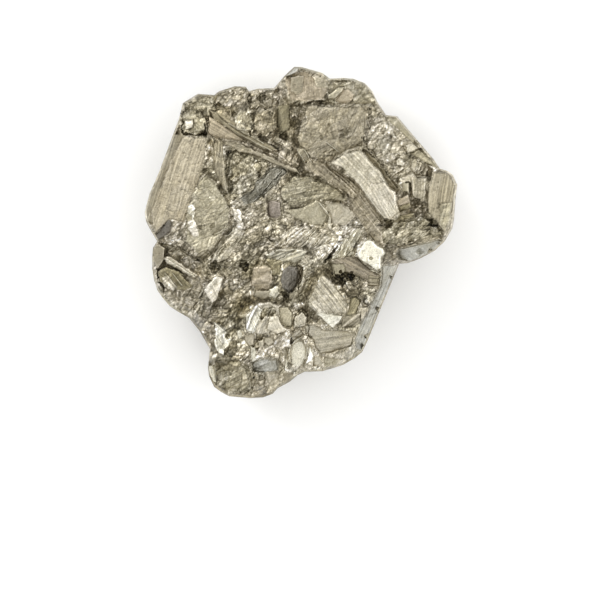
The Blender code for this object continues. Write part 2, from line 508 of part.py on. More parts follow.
def main():
    clear_scene()
    specimen = new_collection("pyrite_specimen_parts")
    joined = new_collection("crystals_joined_on")
    cut = new_collection("cutters")
    lump = add_object("pyrite_specimen", body_mesh(), specimen)
    lump.data.materials.append(pyrite_material())
    for face in FACES:
        crystal(*face, joined)
    ridge_row("left_ridge", (-23.4, 4.0, 20.0), (-18.4, 4.4, 20.9), (3.4, 9.6, 0.6), 9, joined)
    ridge_row("tongue_ridge", (6.6, 11.0, 25.7), (9.6, 12.2, 25.6), (5.2, -5.6, -0.9), 5, joined)
    ridge_row("right_ridge", (20.9, 3.2, 22.2), (23.4, 1.2, 21.7), (1.0, 6.0, 0.1), 5, joined)
    ridge_row("slant_ridge", (-13.2, 18.6, 20.9), (-12.6, 17.6, 20.6), (10.6, -6.0, 0.2), 2, joined)
    ridge_row("blade", (-4.4, -2.2, 19.0), (0.8, -3.4, 19.1), (2.4, 2.6, 0.1), 6, joined)
    back_blocks(joined)
    small_crystals(joined)
    for index, values in enumerate(PITS):
        pit(index, *values, cut)
    under_floor(cut)
    boolean(lump, "join crystals", "UNION", joined)
    boolean(lump, "cut pits and flat spot", "DIFFERENCE", cut)


main()
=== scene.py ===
# %% [markdown]
# # A lump of pyrite, seen from above
#
# The real thing is one lump of metal-bright mineral. Blocks with fine growth lines, smooth plates and
# small crystals have grown through each other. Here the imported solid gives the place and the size, and
# every visible surface is worked out again with numpy, fine enough to show the ridges and the grains.

import math
import random

import bpy
import numpy as np
from mathutils import Euler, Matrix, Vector


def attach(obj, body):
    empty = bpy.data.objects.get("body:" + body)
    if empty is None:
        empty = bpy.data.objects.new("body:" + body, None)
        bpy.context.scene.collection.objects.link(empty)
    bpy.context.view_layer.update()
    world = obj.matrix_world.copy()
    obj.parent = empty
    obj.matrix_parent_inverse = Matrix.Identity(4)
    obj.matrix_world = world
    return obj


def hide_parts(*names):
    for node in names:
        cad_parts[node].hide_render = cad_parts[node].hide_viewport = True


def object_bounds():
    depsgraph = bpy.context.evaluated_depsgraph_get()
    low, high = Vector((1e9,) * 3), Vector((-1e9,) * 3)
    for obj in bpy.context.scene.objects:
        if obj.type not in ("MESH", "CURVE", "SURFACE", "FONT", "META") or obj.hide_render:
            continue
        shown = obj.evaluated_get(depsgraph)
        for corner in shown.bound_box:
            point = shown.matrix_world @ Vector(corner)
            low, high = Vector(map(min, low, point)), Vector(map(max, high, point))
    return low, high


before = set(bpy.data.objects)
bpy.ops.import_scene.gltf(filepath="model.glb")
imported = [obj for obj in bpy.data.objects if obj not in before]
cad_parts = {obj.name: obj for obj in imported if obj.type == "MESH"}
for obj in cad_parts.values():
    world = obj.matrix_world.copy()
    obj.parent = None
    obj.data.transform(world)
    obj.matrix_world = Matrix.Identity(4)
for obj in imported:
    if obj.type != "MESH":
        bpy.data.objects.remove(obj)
cad_low, cad_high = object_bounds()
MM = 0.001
low = np.array(cad_low) / MM
high = np.array(cad_high) / MM
print("box of the solid in mm:", low.round(2), high.round(2))

# %% [markdown]
# ## Numbers that look random but never change
#
# Crystals differ from each other, so their sizes and slopes need variety. A seeded table would do, but a
# formula on the cell's own whole numbers gives the same value wherever it is asked for, as whole arrays.

# %% A repeatable scatter
def scatter(i, j, seed):
    """A number from 0 to 1 for each cell (i, j): the fraction left of a large sine of i, j and the seed."""
    wave = np.sin(i * 127.1 + j * 311.7 + seed * 74.7) * 43758.5453
    return wave - np.floor(wave)


def smooth_noise(x, y, cell, seed):
    """Soft hills from -1 to 1: the scatter at the four corners of a cell, blended by 3t^2 - 2t^3."""
    i, j = np.floor(x / cell), np.floor(y / cell)
    u, v = x / cell - i, y / cell - j
    u, v = u * u * (3 - 2 * u), v * v * (3 - 2 * v)
    south = scatter(i, j, seed) * (1 - u) + scatter(i + 1, j, seed) * u
    north = scatter(i, j + 1, seed) * (1 - u) + scatter(i + 1, j + 1, seed) * u
    return 2.0 * (south * (1 - v) + north * v) - 1.0


# %% [markdown]
# ## Small crystals packed side by side
#
# Grainy pyrite is a mass of little cubes at all angles. Modelling each one apart would cost millions of
# faces, so a field does it: each cell of a net holds one crystal, a sloping flat top with steep walls,
# and at every point the highest crystal wins. That is just what a union of solids would show from above.

# %% A field of crystals
CRYSTAL_WALL = 2.2


def crystal_field(x, y, cell, slope, seed, wrap=None):
    """The highest of nine neighbouring crystals, a number from 0 to 1 that names it, and the place on it.

    A crystal's top is its own level plus a slope along its own two axes. Past its half width, measured as
    the larger of the two distances in its turned square, it falls with a steep wall. The place is v, u in
    its own axes, shifted by its name. wrap is the count of cells after which i starts again, for a ring.
    """
    i0, j0 = np.floor(x / cell), np.floor(y / cell)
    best, winner = np.full(x.shape, -1e9), np.zeros(x.shape)
    place = np.zeros((2,) + x.shape)
    for di in (-1, 0, 1):
        for dj in (-1, 0, 1):
            i, j = i0 + di, j0 + dj
            k = i if wrap is None else np.mod(i, wrap)
            across = x - (i + scatter(k, j, seed)) * cell
            along = y - (j + scatter(k, j, seed + 1)) * cell
            turn = scatter(k, j, seed + 2) * math.pi
            u = np.cos(turn) * across + np.sin(turn) * along
            v = np.cos(turn) * along - np.sin(turn) * across
            half = cell * (0.25 + 0.5 * scatter(k, j, seed + 3))
            level = cell * (scatter(k, j, seed + 4) - 0.5)
            lean_u, lean_v = scatter(k, j, seed + 5) - 0.5, scatter(k, j, seed + 6) - 0.5
            top = level + slope * (u * lean_u + v * lean_v)
            height = top - CRYSTAL_WALL * np.maximum(np.maximum(np.abs(u), np.abs(v)) - half, 0.0)
            wins = height > best
            best = np.where(wins, height, best)
            name = scatter(k, j, seed + 7)
            winner = np.where(wins, name, winner)
            place = np.where(wins, (v + 90.0 * name, u + 50.0 * name), place)
    return best, winner, place


# %% [markdown]
# ## Growth lines
#
# Pyrite faces carry fine parallel lines, where two kinds of face took turns as the crystal grew. They
# are low ridges of unequal width and height, so the rule is a row of triangles with scattered heights.

# %% A row of ridges
def ridges(across, step, seed):
    """Triangles side by side: the place across is counted in steps and bent, and each has its height."""
    place = across / step + 0.35 * np.sin(across / step * 0.9 + seed)
    count = np.floor(place)
    share = place - count
    height = 0.15 + 0.85 * scatter(count, 0.0 * count, seed) ** 2
    return height * (1.0 - np.abs(2.0 * share - 1.0))


# %% [markdown]
# ## The outline
#
# The lump is widest a little above its flat spot. Its outline there has only the corners that show, and
# every ring of the surface is this outline drawn in towards the middle.

# %% The outline as a reach in each direction
OUTLINE = np.array((
    (-18.9, 20.7), (-16.5, 22.2), (-13.9, 22.0), (-13.1, 22.6), (-10.6, 23.4), (-8.8, 23.3),
    (-8.3, 22.6), (-6.9, 23.0), (-4.3, 23.1), (-2.7, 25.0), (-1.1, 26.5), (0.0, 26.5),
    (1.8, 26.0), (3.4, 25.5), (4.6, 24.6), (6.7, 24.7), (8.3, 24.6), (10.2, 23.9),
    (11.4, 22.6), (12.2, 20.9), (13.6, 18.8), (15.4, 18.6), (16.8, 16.9), (19.0, 14.3),
    (21.3, 11.6), (22.2, 10.2), (23.5, 9.8), (24.3, 9.2), (25.0, 7.6), (24.7, 5.0),
    (24.5, 2.2), (24.2, 0.6), (23.0, -1.4), (21.3, -3.0), (19.0, -4.2), (17.1, -4.9),
    (15.7, -5.0), (13.2, -11.1), (10.7, -17.2), (9.8, -19.1), (8.6, -20.1), (6.7, -21.2),
    (5.1, -21.7), (3.4, -22.2), (0.6, -22.3), (-0.5, -22.8), (-1.8, -23.9), (-3.7, -24.9),
    (-4.5, -25.8), (-6.1, -26.4), (-8.2, -26.5), (-11.5, -26.2), (-12.8, -25.5), (-13.9, -24.7),
    (-14.7, -23.0), (-14.9, -21.5), (-14.7, -19.8), (-14.6, -18.6), (-15.4, -17.2), (-16.2, -15.8),
    (-17.9, -13.7), (-19.8, -12.6), (-21.0, -11.8), (-22.1, -10.5), (-23.0, -9.2), (-23.5, -7.6),
    (-23.8, -5.8), (-23.8, -4.1), (-23.7, -2.5), (-23.0, -1.4), (-24.2, 0.6), (-24.8, 1.8),
    (-25.0, 3.3), (-24.2, 6.3), (-22.7, 9.7), (-21.1, 14.0), (-19.5, 18.3),
))  # fmt: skip
MIDDLE = np.array((-1.5, 1.0))
GIRTH = 12.0
SWELL, SWELL_REACH = 4.6, 27.0


def reach(angle):
    """How far the outline is from the middle in a direction: where the ray meets the edge it falls on."""
    corners = OUTLINE - MIDDLE
    turned = np.mod(np.arctan2(corners[:, 1], corners[:, 0]), 2 * math.pi)
    order = np.argsort(turned)
    turned, corners = turned[order], corners[order]
    angle = np.mod(angle, 2 * math.pi)
    after = np.searchsorted(turned, angle) % len(corners)
    first, last = corners[after - 1], corners[after]
    edge = last - first
    ray_x, ray_y = np.cos(angle), np.sin(angle)
    top = first[..., 0] * edge[..., 1] - first[..., 1] * edge[..., 0]
    return top / (ray_x * edge[..., 1] - ray_y * edge[..., 0])


def swell(x, y):
    """How far the middle of the upper side stands above its rim: a paraboloid round the middle."""
    return SWELL * np.clip(1.0 - ((x - MIDDLE[0]) ** 2 + (y - MIDDLE[1]) ** 2) / SWELL_REACH**2, 0.0, 1.0)


print("reach to the right, top, left and foot:", reach(np.radians([0, 90, 180, 270])).round(1), "mm")

# %% [markdown]
# ## The faces that show
#
# Each flat face is named and has a height over the rim, a rise towards +X and +Y, a tone, a share of
# grain, its growth lines and its corners. Tones are partly the metal's own colours, clean pale brass or
# tarnish that leans to olive, brown or slate, and partly painted reflection: a face that mirrors bright
# surroundings gets a pale tone, one that mirrors dark ones a darker tone. The corners are in millimetres
# from the part's origin.
# They stand in a table of plain columns, which is easy to read and to correct, and one function reads it.

# %% Tones of the metal: its own colours and tarnish, and painted reflection
TONES = {
    "white": (0.86, 0.82, 0.65), "bone": (0.72, 0.68, 0.52), "bright": (0.65, 0.61, 0.46),
    "cream": (0.61, 0.56, 0.43), "pale": (0.50, 0.46, 0.35), "steel": (0.43, 0.42, 0.36),
    "light": (0.43, 0.39, 0.29), "sand": (0.365, 0.325, 0.24), "rose": (0.37, 0.32, 0.23),
    "beige": (0.35, 0.32, 0.23), "grey": (0.30, 0.27, 0.20), "lead": (0.265, 0.255, 0.21),
    "green": (0.29, 0.26, 0.17), "umber": (0.26, 0.23, 0.18), "mauve": (0.25, 0.22, 0.19),
    "brown": (0.26, 0.23, 0.16), "olive": (0.21, 0.18, 0.11), "slate": (0.175, 0.165, 0.15),
    # dark is used only by the patches over deep hollows, as painted shade.
    "drab": (0.165, 0.15, 0.105), "dark": (0.09, 0.08, 0.05),
}  # fmt: skip

# %% Reading the table of faces
def read_faces(table):
    """A list of the table's rows. A row has the name, height, rises towards +X and +Y, tone, share of grain,
    the angle, step and depth of its lines or a dash, then a colon and the corners up to a semicolon."""
    faces = []
    for row in table.split(";")[:-1]:
        head, corners = row.split(":")
        name, height, rise_x, rise_y, tone, grain, *lines = head.split()
        lines = None if lines == ["-"] else tuple(float(value) for value in lines)
        corners = np.array(corners.replace(",", " ").split(), dtype=float).reshape(-1, 2)
        faces.append((name, float(height), float(rise_x), float(rise_y), tone, float(grain), lines, corners))
    return faces


# %% The table of faces
FACES = read_faces("""
left_block 20.6 0.16 0.02 sand 0.03 72 0.45 0.04 : -19.6 15.4, -17.0 15.1, -15.2 15.0, -15.3 12.0,
  -16.3 8.5, -17.6 5.0, -18.6 1.6, -21.0 2.1, -23.2 0.1, -24.4 1.9, -24.4 3.4, -23.5 6.6, -22.0 10.0,
  -20.6 13.4;
left_block_bevel 18.6 1.05 -0.28 grey 0.05 73 0.4 0.04 : -19.5 17.2, -18.5 15.6, -20.0 13.0, -21.3 9.8,
  -22.8 6.2, -23.8 3.4, -23.7 1.2, -24.6 1.8, -24.8 3.4, -24.0 6.4, -22.5 9.8, -20.9 14.0;
slanting_band 21.4 0.25 0.2 sand 0.35 -52 0.4 0.16 : 7.8 9.2, 9.2 7.4, 10.2 5.8, 12.8 2.6, 13.2 0.2,
  13.4 -2.0, 12.7 -2.0, 11.0 -0.9, 9.2 1.8, 8.0 3.4, 7.2 6.0;
salt_and_pepper 20.0 0.05 -0.08 beige 0.95 - : -11.9 12.8, -9.5 13.4, -6.4 12.3, -6.1 9.0, -8.5 6.5,
  -10.5 5.2, -11.6 6.0, -12.0 9.0;
slanting_field 20.6 -0.05 0.1 sand 0.7 -38 0.8 0.25 : -14.4 15.0, -9.8 15.4, -4.0 13.6, 0.4 11.6, -0.4 9.6,
  -6.0 12.4, -12.2 13.6;
corner_cap 18.8 0.06 -0.2 beige 0.7 - : -19.2 17.9, -18.4 20.4, -16.4 21.7, -14.0 21.6, -13.2 19.6,
  -15.0 17.6, -15.2 15.4, -18.9 15.3;
round_corner_crystal 21.2 0.1 0.12 beige 0.8 - : -18.9 18.5, -17.6 19.3, -15.9 19.1, -15.1 17.6, -15.4 16.1,
  -17.0 15.4, -18.5 15.9, -19.1 17.2;
corner_square 21.5 0.05 0.2 cream 0.1 - : -18.6 17.8, -17.3 17.9, -17.1 16.6, -18.4 16.4;
smooth_plate 20.6 -0.05 0.12 rose 0.05 -30 1.2 0.04 : -14.6 18.4, -12.4 16.9, -9.8 15.3, -8.7 14.4,
  -10.8 14.7, -13.2 15.0, -14.7 15.6;
upper_ridge 21.3 0.12 0.12 brown 0.1 -31 0.5 0.07 : -14.4 19.3, -13.0 19.0, -10.6 17.4, -8.7 15.7,
  -5.5 14.2, -3.8 13.1, -4.7 12.9, -7.1 13.7, -9.8 15.3, -11.9 16.7, -14.0 18.5;
lower_ridge 20.9 0.08 0.1 grey 0.2 -25 0.5 0.06 : -12.4 14.7, -9.2 13.9, -6.6 12.9, -3.1 11.0, -0.5 10.0,
  -0.3 9.4, -2.8 10.2, -6.6 12.1, -9.8 12.9, -12.2 13.9;
top_lump_left 19.4 0.05 -0.34 grey 0.9 - : -13.3 21.9, -12.0 22.9, -10.4 23.1, -9.0 23.0, -8.5 22.2,
  -9.0 21.0, -10.5 20.2, -12.5 19.9, -13.6 20.6;
top_lump_middle 18.9 -0.05 -0.25 grey 0.9 - : -8.0 22.5, -6.9 22.8, -4.4 22.9, -3.6 21.9, -3.7 20.2,
  -5.5 19.7, -8.0 19.8, -8.8 20.7;
white_lumps 21.7 0.15 -0.1 beige 0.8 - : -10.3 18.3, -9.6 19.3, -8.3 19.2, -7.6 18.0, -7.7 16.4, -8.8 15.9,
  -10.1 16.4;
ball 22.3 0.05 0.05 brown 0.7 - : -7.6 17.6, -6.9 18.8, -5.6 19.2, -4.4 18.7, -3.9 17.4, -4.3 16.0,
  -5.5 15.3, -6.9 15.6;
olive_upright 20.6 0.15 0.05 drab 0.1 - : -3.6 20.2, -1.9 20.3, -1.8 16.6, -3.0 15.8, -3.9 16.8, -3.9 19.0;
top_crystal 21.0 0.1 -0.42 rose 0.25 - : -2.5 24.5, -1.1 26.1, 0.1 26.1, 1.8 25.6, 3.3 25.0, 4.2 24.1,
  4.0 22.4, 3.6 21.2, 0.4 20.8, -1.5 21.0, -2.0 22.6;
top_light_facet 21.2 0.02 -0.1 light 0.1 20 0.9 0.05 : 1.8 24.9, 3.4 24.9, 4.4 24.0, 4.2 22.9, 2.4 23.2;
top_tip 20.6 0.2 -0.8 steel 0.0 - : -2.4 24.9, -1.1 26.2, 0.0 26.3, -0.1 25.9, -1.4 25.2;
top_edge_grain 20.6 -0.1 -0.6 grey 0.9 - : 0.1 26.2, 1.8 25.8, 3.4 25.2, 3.0 24.9, 1.6 25.1, 0.0 25.3,
  -1.2 25.2;
pink_top 21.2 -0.12 -0.15 grey 0.0 - : -1.6 24.6, -0.6 25.0, 0.5 25.0, 0.3 22.4, -0.6 21.8, -1.6 22.4;
top_crystal_right 20.8 -0.12 -0.28 beige 0.6 - : 4.6 24.3, 6.7 24.4, 8.3 24.3, 10.1 23.6, 11.1 22.4,
  11.9 20.8, 11.7 20.3, 5.0 20.4, 4.2 21.3;
top_smooth 21.4 0.05 0.18 rose 0.0 - : 5.4 20.9, 6.4 22.5, 7.4 22.8, 8.5 22.0, 8.0 20.9, 6.6 20.4;
top_strip 22.4 0.1 0.25 beige 0.1 - : 4.2 21.2, 4.3 21.9, 6.0 23.1, 6.8 23.1, 6.5 22.4, 5.3 21.2;
grey_plate 22.2 0.02 0.1 grey 0.4 - : 0.9 18.0, 0.8 19.8, 1.6 20.2, 4.0 20.0, 8.0 20.2, 10.3 20.0,
  10.5 18.4, 10.1 15.5, 9.8 13.7, 7.3 13.1, 4.8 11.4, 1.6 11.7, -0.5 14.6, 0.1 16.9;
plate_blades 21.6 0.1 0.35 light 0.1 60 0.55 0.25 : -0.8 13.4, 0.5 13.4, 2.0 11.2, 1.6 10.6, 0.2 11.2;
upper_right_block 21.0 -0.2 -0.05 light 0.75 - : 10.9 19.6, 12.1 19.6, 13.5 18.3, 15.1 18.2, 16.5 16.6,
  18.6 14.0, 18.4 12.4, 16.8 13.0, 17.8 11.2, 16.8 9.0, 14.6 8.6, 12.6 11.6, 10.3 13.4, 10.5 15.6,
  11.2 17.4;
block_flake_lower 21.2 -0.1 0.0 pale 0.5 55 0.8 0.15 : 12.0 14.6, 13.0 15.4, 14.4 13.6, 13.6 12.2,
  12.4 13.0;
block_flake_upper 21.2 -0.1 -0.05 cream 0.4 60 0.8 0.15 : 13.4 17.2, 14.8 16.6, 15.2 14.9, 13.9 15.5;
upper_right_edge 19.8 -0.45 -0.25 beige 0.1 - : 13.6 18.4, 15.2 18.3, 16.7 16.6, 18.8 14.1, 18.2 13.9,
  16.0 16.0, 14.4 17.4;
cream_window 21.0 -0.05 0.05 pale 0.05 - : 16.6 13.9, 17.8 14.1, 18.7 13.2, 18.2 12.3, 17.0 12.7;
white_patch 21.7 0.2 -0.1 pale 0.3 - : 15.1 11.4, 15.7 11.9, 16.7 11.1, 16.5 10.6, 15.2 10.7;
upper_right_shoulder 19.2 -0.12 -0.08 beige 0.1 - : 16.9 12.6, 19.1 13.4, 21.0 11.3, 21.8 10.4, 20.2 10.8,
  18.6 11.9;
under_shoulder 19.8 -0.1 0.1 light 0.3 75 0.5 0.12 : 17.2 12.0, 18.5 11.7, 20.0 10.6, 20.9 10.0, 20.7 8.8,
  18.4 9.0, 17.3 10.4;
tongue_edge 22.0 0.3 0.3 brown 0.2 - : 9.9 13.4, 11.4 12.2, 13.0 10.4, 14.3 8.4, 16.0 7.0, 15.2 6.0,
  13.4 7.6, 11.4 10.4, 9.6 12.6;
tongue 25.2 -0.08 0.06 pale 0.15 -47 0.6 0.03 : 4.6 10.9, 5.6 11.6, 7.4 12.6, 9.4 13.0, 9.9 12.5, 11.5 10.6,
  12.6 9.7, 13.6 7.9, 14.1 7.0, 14.9 6.4, 15.1 5.2, 15.2 4.0, 15.4 2.9, 14.6 2.2, 13.3 2.1, 12.6 2.9,
  11.0 4.9, 10.1 6.1, 9.5 7.3, 8.5 8.4, 7.5 9.0, 6.6 10.3;
tongue_low 24.9 -0.06 0.16 cream 0.1 -60 0.6 0.04 : 11.2 7.6, 13.2 8.0, 14.1 7.0, 14.9 6.4, 15.1 5.2,
  15.2 4.0, 15.4 2.9, 14.6 2.2, 13.4 2.2, 12.4 3.6, 11.0 5.4, 10.4 6.6;
right_cube 22.0 -0.18 0.04 grey 0.05 80 0.42 0.12 : 20.9 9.7, 22.5 9.6, 23.6 9.2, 24.4 7.6, 24.3 5.0,
  23.7 1.4, 22.9 -0.1, 21.4 1.9, 20.3 3.1, 20.2 6.9, 20.7 8.6;
right_cube_low 22.1 -0.15 0.14 beige 0.15 75 0.4 0.07 : 22.2 4.6, 23.9 4.8, 23.6 1.4, 22.9 0.2, 22.0 1.6;
striped_cube 22.8 -0.18 0.3 rose 0.0 - : 15.2 4.9, 17.0 6.0, 17.5 4.8, 15.4 3.8;
striped_cube_foot 22.0 -0.1 0.35 green 0.1 45 0.4 0.1 : 15.4 3.9, 17.4 4.9, 17.6 4.0, 15.7 3.0;
step_facet 22.4 0.12 0.05 beige 0.0 - : 16.2 8.0, 17.2 7.9, 17.2 6.3, 16.2 6.5;
step_facet_top 22.6 0.05 -0.2 light 0.3 - : 15.8 8.4, 17.0 9.0, 18.0 8.8, 17.8 8.0, 16.0 7.9;
ridged_facet 22.2 -0.1 0.2 light 0.2 88 0.55 0.2 : 17.6 8.6, 20.3 8.7, 20.4 7.0, 20.1 4.8, 18.0 5.4,
  17.5 7.0;
under_tongue 19.6 0.05 0.1 green 0.3 10 0.7 0.2 : 13.0 2.3, 14.8 1.8, 16.0 2.8, 18.2 3.0, 17.8 2.2,
  15.4 1.5, 13.6 1.3;
lower_right_face 20.4 -0.06 0.06 beige 0.8 - : 13.2 1.2, 15.6 1.6, 17.8 2.2, 19.4 2.6, 21.0 2.3, 22.8 -0.3,
  20.5 -0.9, 17.0 -1.9, 15.2 -2.2, 13.2 -1.9, 12.9 -0.2;
lower_ledge 19.4 0.0 0.2 light 0.3 14 0.5 0.12 : 15.4 -2.2, 18.0 -1.6, 20.4 -0.8, 22.6 -0.6, 22.2 -1.2,
  18.6 -2.1, 15.8 -2.7;
smooth_bevel 16.4 0.0 0.45 steel 0.0 - : 15.6 -2.7, 18.6 -2.0, 22.0 -1.2, 22.7 -1.4, 21.1 -2.8, 18.9 -4.0,
  17.1 -4.6, 16.0 -4.4, 15.4 -3.6;
pale_face 21.6 -0.14 -0.05 beige 0.35 - : -15.2 9.2, -13.4 7.3, -12.2 5.4, -11.4 3.4, -11.6 0.8, -13.0 -0.6,
  -14.0 -2.4, -16.4 -3.4, -18.3 -1.4, -18.2 2.6, -17.2 5.6, -16.0 8.6;
pale_edge 22.2 0.25 -0.1 bright 0.5 - : -17.9 4.2, -17.0 4.6, -16.8 3.0, -17.2 2.0, -18.0 3.0;
pale_corner 22.3 0.15 0.1 cream 0.4 - : -18.0 1.6, -17.0 2.0, -16.5 1.0, -16.4 -0.6, -17.4 -0.7, -18.1 0.2;
upright_strip 21.0 0.3 0.0 grey 0.15 84 0.5 0.12 : -14.0 14.6, -12.5 14.6, -12.1 9.0, -11.6 6.2, -12.3 6.6,
  -13.4 8.6, -14.0 10.2;
mauve_facet 20.2 0.45 0.1 mauve 0.1 - : -5.3 5.0, -3.3 4.9, -3.2 2.6, -3.9 2.1, -5.4 2.6;
groove_wall 20.2 -0.05 -0.05 lead 0.6 48 0.35 0.15 : -7.7 7.0, -5.6 10.0, -3.3 10.6, -2.4 9.7, -4.4 7.0,
  -6.6 5.2, -9.0 4.5, -9.7 5.4;
upper_plate 20.7 0.0 0.05 beige 0.45 10 0.8 0.05 : -3.0 5.2, -2.8 7.4, -1.0 8.8, 1.4 8.8, 3.6 8.0, 5.2 7.4,
  6.8 6.2, 7.2 5.0, 4.0 5.0, 2.6 5.3, 0.2 4.4, -1.6 4.2;
streaked_band 22.0 0.0 0.05 sand 0.35 -42 0.5 0.15 : 1.4 11.6, 3.8 11.2, 6.2 9.4, 8.2 8.2, 9.4 6.4, 8.4 5.2,
  7.2 6.2, 5.0 7.6, 2.6 9.0, 0.4 10.2;
middle_facet 20.6 -0.04 0.16 beige 0.1 - : -2.6 3.4, 0.4 4.0, 2.4 5.0, 3.2 4.6, 4.5 2.5, 3.4 0.9, 1.6 1.2,
  -0.6 2.2;
middle_facet_right 20.9 0.04 0.18 light 0.1 - : 4.0 4.8, 6.2 4.6, 8.3 3.2, 8.5 2.4, 7.3 1.2, 5.0 1.2,
  4.7 2.5;
middle_edge 21.0 0.3 0.1 pale 0.1 - : 2.9 4.6, 3.6 4.2, 4.8 2.4, 4.7 0.4, 4.2 0.8, 4.3 2.4, 3.3 3.8;
golden_arc 20.9 0.02 0.3 bright 0.25 22 0.8 0.3 : -5.6 -3.6, -3.6 -2.7, -1.0 -2.6, 1.0 -2.9, 0.6 -4.0,
  -1.0 -4.9, -3.2 -4.8, -5.2 -4.6;
blade_fan 20.8 0.05 -0.1 pale 0.4 50 0.6 0.25 : -13.6 -2.2, -10.4 1.6, -9.2 0.4, -9.6 -1.2, -12.0 -4.4,
  -14.2 -4.8;
left_blade 21.0 0.2 0.1 cream 0.5 - : -11.2 4.2, -9.8 3.6, -8.9 0.4, -9.9 0.0, -10.8 2.2;
flaky_middle 20.5 0.02 0.05 cream 0.6 40 0.65 0.22 : -4.4 -2.2, -1.6 0.8, 2.2 0.6, 4.6 -0.8, 4.0 -2.6,
  1.2 -2.9, -1.0 -2.5;
slit_blades 20.7 -0.1 0.1 bright 0.4 62 0.6 0.3 : 5.0 -4.2, 7.2 -0.6, 9.4 0.8, 9.6 -0.6, 8.6 -2.2, 8.8 -3.6,
  6.4 -4.6;
white_facet 22.4 -0.05 0.06 bone 0.0 - : 10.6 -1.2, 11.1 -1.2, 12.2 -2.2, 13.1 -2.6, 13.4 -3.4, 12.8 -4.1,
  12.6 -5.8, 11.8 -5.8, 10.4 -5.0, 9.3 -4.2, 9.1 -3.6, 9.4 -2.8, 9.9 -1.8;
brown_facet 20.8 -0.15 -0.05 umber 0.05 -28 0.7 0.06 : 5.0 -4.6, 6.6 -3.9, 8.2 -4.0, 9.0 -4.0, 9.8 -4.8,
  11.4 -6.0, 12.6 -6.8, 12.6 -8.4, 10.8 -7.8, 9.2 -6.9, 7.4 -6.3, 6.0 -5.8;
white_lens 20.8 0.0 0.4 bright 0.1 - : 10.9 -5.9, 12.7 -6.2, 12.6 -6.6, 11.0 -6.2;
striped_step 20.2 -0.1 0.25 grey 0.05 0 0.5 0.12 : 10.7 -6.8, 12.7 -7.0, 12.6 -8.6, 10.6 -8.6;
olive_facet 20.6 0.1 0.2 beige 0.0 - : 5.0 -5.0, 6.8 -5.0, 7.2 -6.2, 6.0 -7.0, 5.2 -7.2;
edge_crystal 20.6 -0.2 0.1 beige 0.9 - : 10.0 -9.6, 10.8 -8.8, 11.9 -9.0, 12.3 -9.9, 11.6 -11.0, 10.4 -11.2;
slate_facet 20.2 -0.45 0.2 slate 0.15 - : -3.0 -6.2, -1.9 -5.3, -0.6 -5.4, -0.2 -6.6, -0.5 -8.0, -1.2 -9.6,
  -2.0 -9.8, -2.8 -9.0, -3.2 -8.0;
slate_side 19.6 -0.6 0.1 sand 0.1 85 0.5 0.1 : -0.6 -5.2, 0.3 -5.6, 0.2 -7.4, -0.3 -8.2, -0.3 -6.6;
pink_facet 21.2 0.12 0.12 rose 0.3 - : -7.6 -5.8, -6.2 -5.2, -5.0 -5.8, -4.6 -7.4, -4.9 -9.1, -7.0 -9.3,
  -8.0 -8.2;
grey_oval 21.2 0.0 0.3 grey 0.0 - : -7.1 -9.3, -4.8 -9.3, -4.7 -10.2, -5.6 -10.9, -6.8 -10.8, -7.4 -10.1;
olive_plate 21.0 0.0 0.05 green 0.4 30 0.9 0.08 : -5.6 -4.4, -4.2 -4.2, -3.2 -4.8, -3.3 -6.8, -4.4 -7.0,
  -4.8 -5.6;
white_flake 21.2 0.05 0.1 bright 0.2 60 0.8 0.1 : -5.0 -8.9, -3.8 -8.5, -3.4 -9.7, -4.2 -10.8, -5.0 -9.9;
lower_left_lump 17.0 0.4 0.06 light 0.6 - : -23.2 -2.8, -22.4 -1.8, -20.4 -1.8, -15.9 -4.6, -15.6 -8.8,
  -17.0 -12.2, -19.5 -12.0, -21.6 -10.2, -22.9 -7.4, -23.3 -4.4;
lump_olive 17.8 0.5 0.0 grey 0.0 - : -23.6 -2.9, -22.9 -1.7, -21.7 -2.5, -21.9 -4.4, -22.9 -6.0, -23.6 -4.4;
notch_olive 19.6 0.1 0.6 slate 0.05 - : -23.2 -0.3, -21.0 2.1, -20.5 1.2, -20.8 0.0, -22.8 -1.2;
lump_golden 18.4 0.1 0.1 green 0.25 -42 0.8 0.12 : -22.9 -6.3, -21.6 -5.4, -19.4 -6.3, -17.3 -8.5,
  -18.2 -9.6, -19.7 -9.2, -21.0 -8.6, -22.5 -7.9;
lump_streaks 18.4 0.1 0.1 pale 0.4 -50 0.7 0.2 : -22.4 -7.2, -21.2 -6.8, -19.8 -8.4, -20.4 -9.4, -21.8 -8.6;
rusty_patch 18.4 0.1 0.1 light 0.75 - : -19.7 -9.4, -17.6 -8.8, -16.7 -9.9, -17.8 -11.7, -19.5 -10.8;
bright_ledge 20.0 0.3 0.2 light 0.3 - : -21.8 -4.2, -20.9 -3.8, -18.6 -5.4, -16.5 -6.9, -16.9 -7.3,
  -18.8 -6.2, -21.2 -5.0;
white_tooth 21.8 -0.05 -0.05 cream 0.15 - : -13.6 -6.9, -12.5 -7.3, -12.8 -9.0, -13.3 -10.4, -14.2 -11.6,
  -14.4 -10.8, -15.4 -9.2, -14.9 -8.4;
bright_group 22.2 -0.05 -0.05 cream 0.3 68 1.1 0.25 : -8.8 -13.2, -7.0 -11.3, -5.0 -11.0, -3.3 -11.7,
  -3.6 -13.3, -3.3 -14.6, -2.3 -15.4, -2.9 -16.4, -5.6 -16.2, -8.5 -15.8, -8.9 -14.6;
group_white 22.7 0.1 -0.15 pale 0.1 - : -4.9 -13.4, -3.7 -13.3, -3.3 -14.6, -2.4 -15.5, -3.6 -16.2,
  -5.4 -15.4;
group_stripes 22.8 -0.25 0.0 white 0.2 65 0.9 0.35 : -8.8 -13.4, -7.0 -11.4, -6.2 -12.4, -6.8 -14.6,
  -7.4 -15.9, -8.5 -15.6;
group_grain 22.0 0.1 0.2 beige 0.9 - : -5.8 -12.2, -4.0 -11.9, -3.8 -13.0, -5.6 -13.4, -6.4 -14.0,
  -6.4 -13.0;
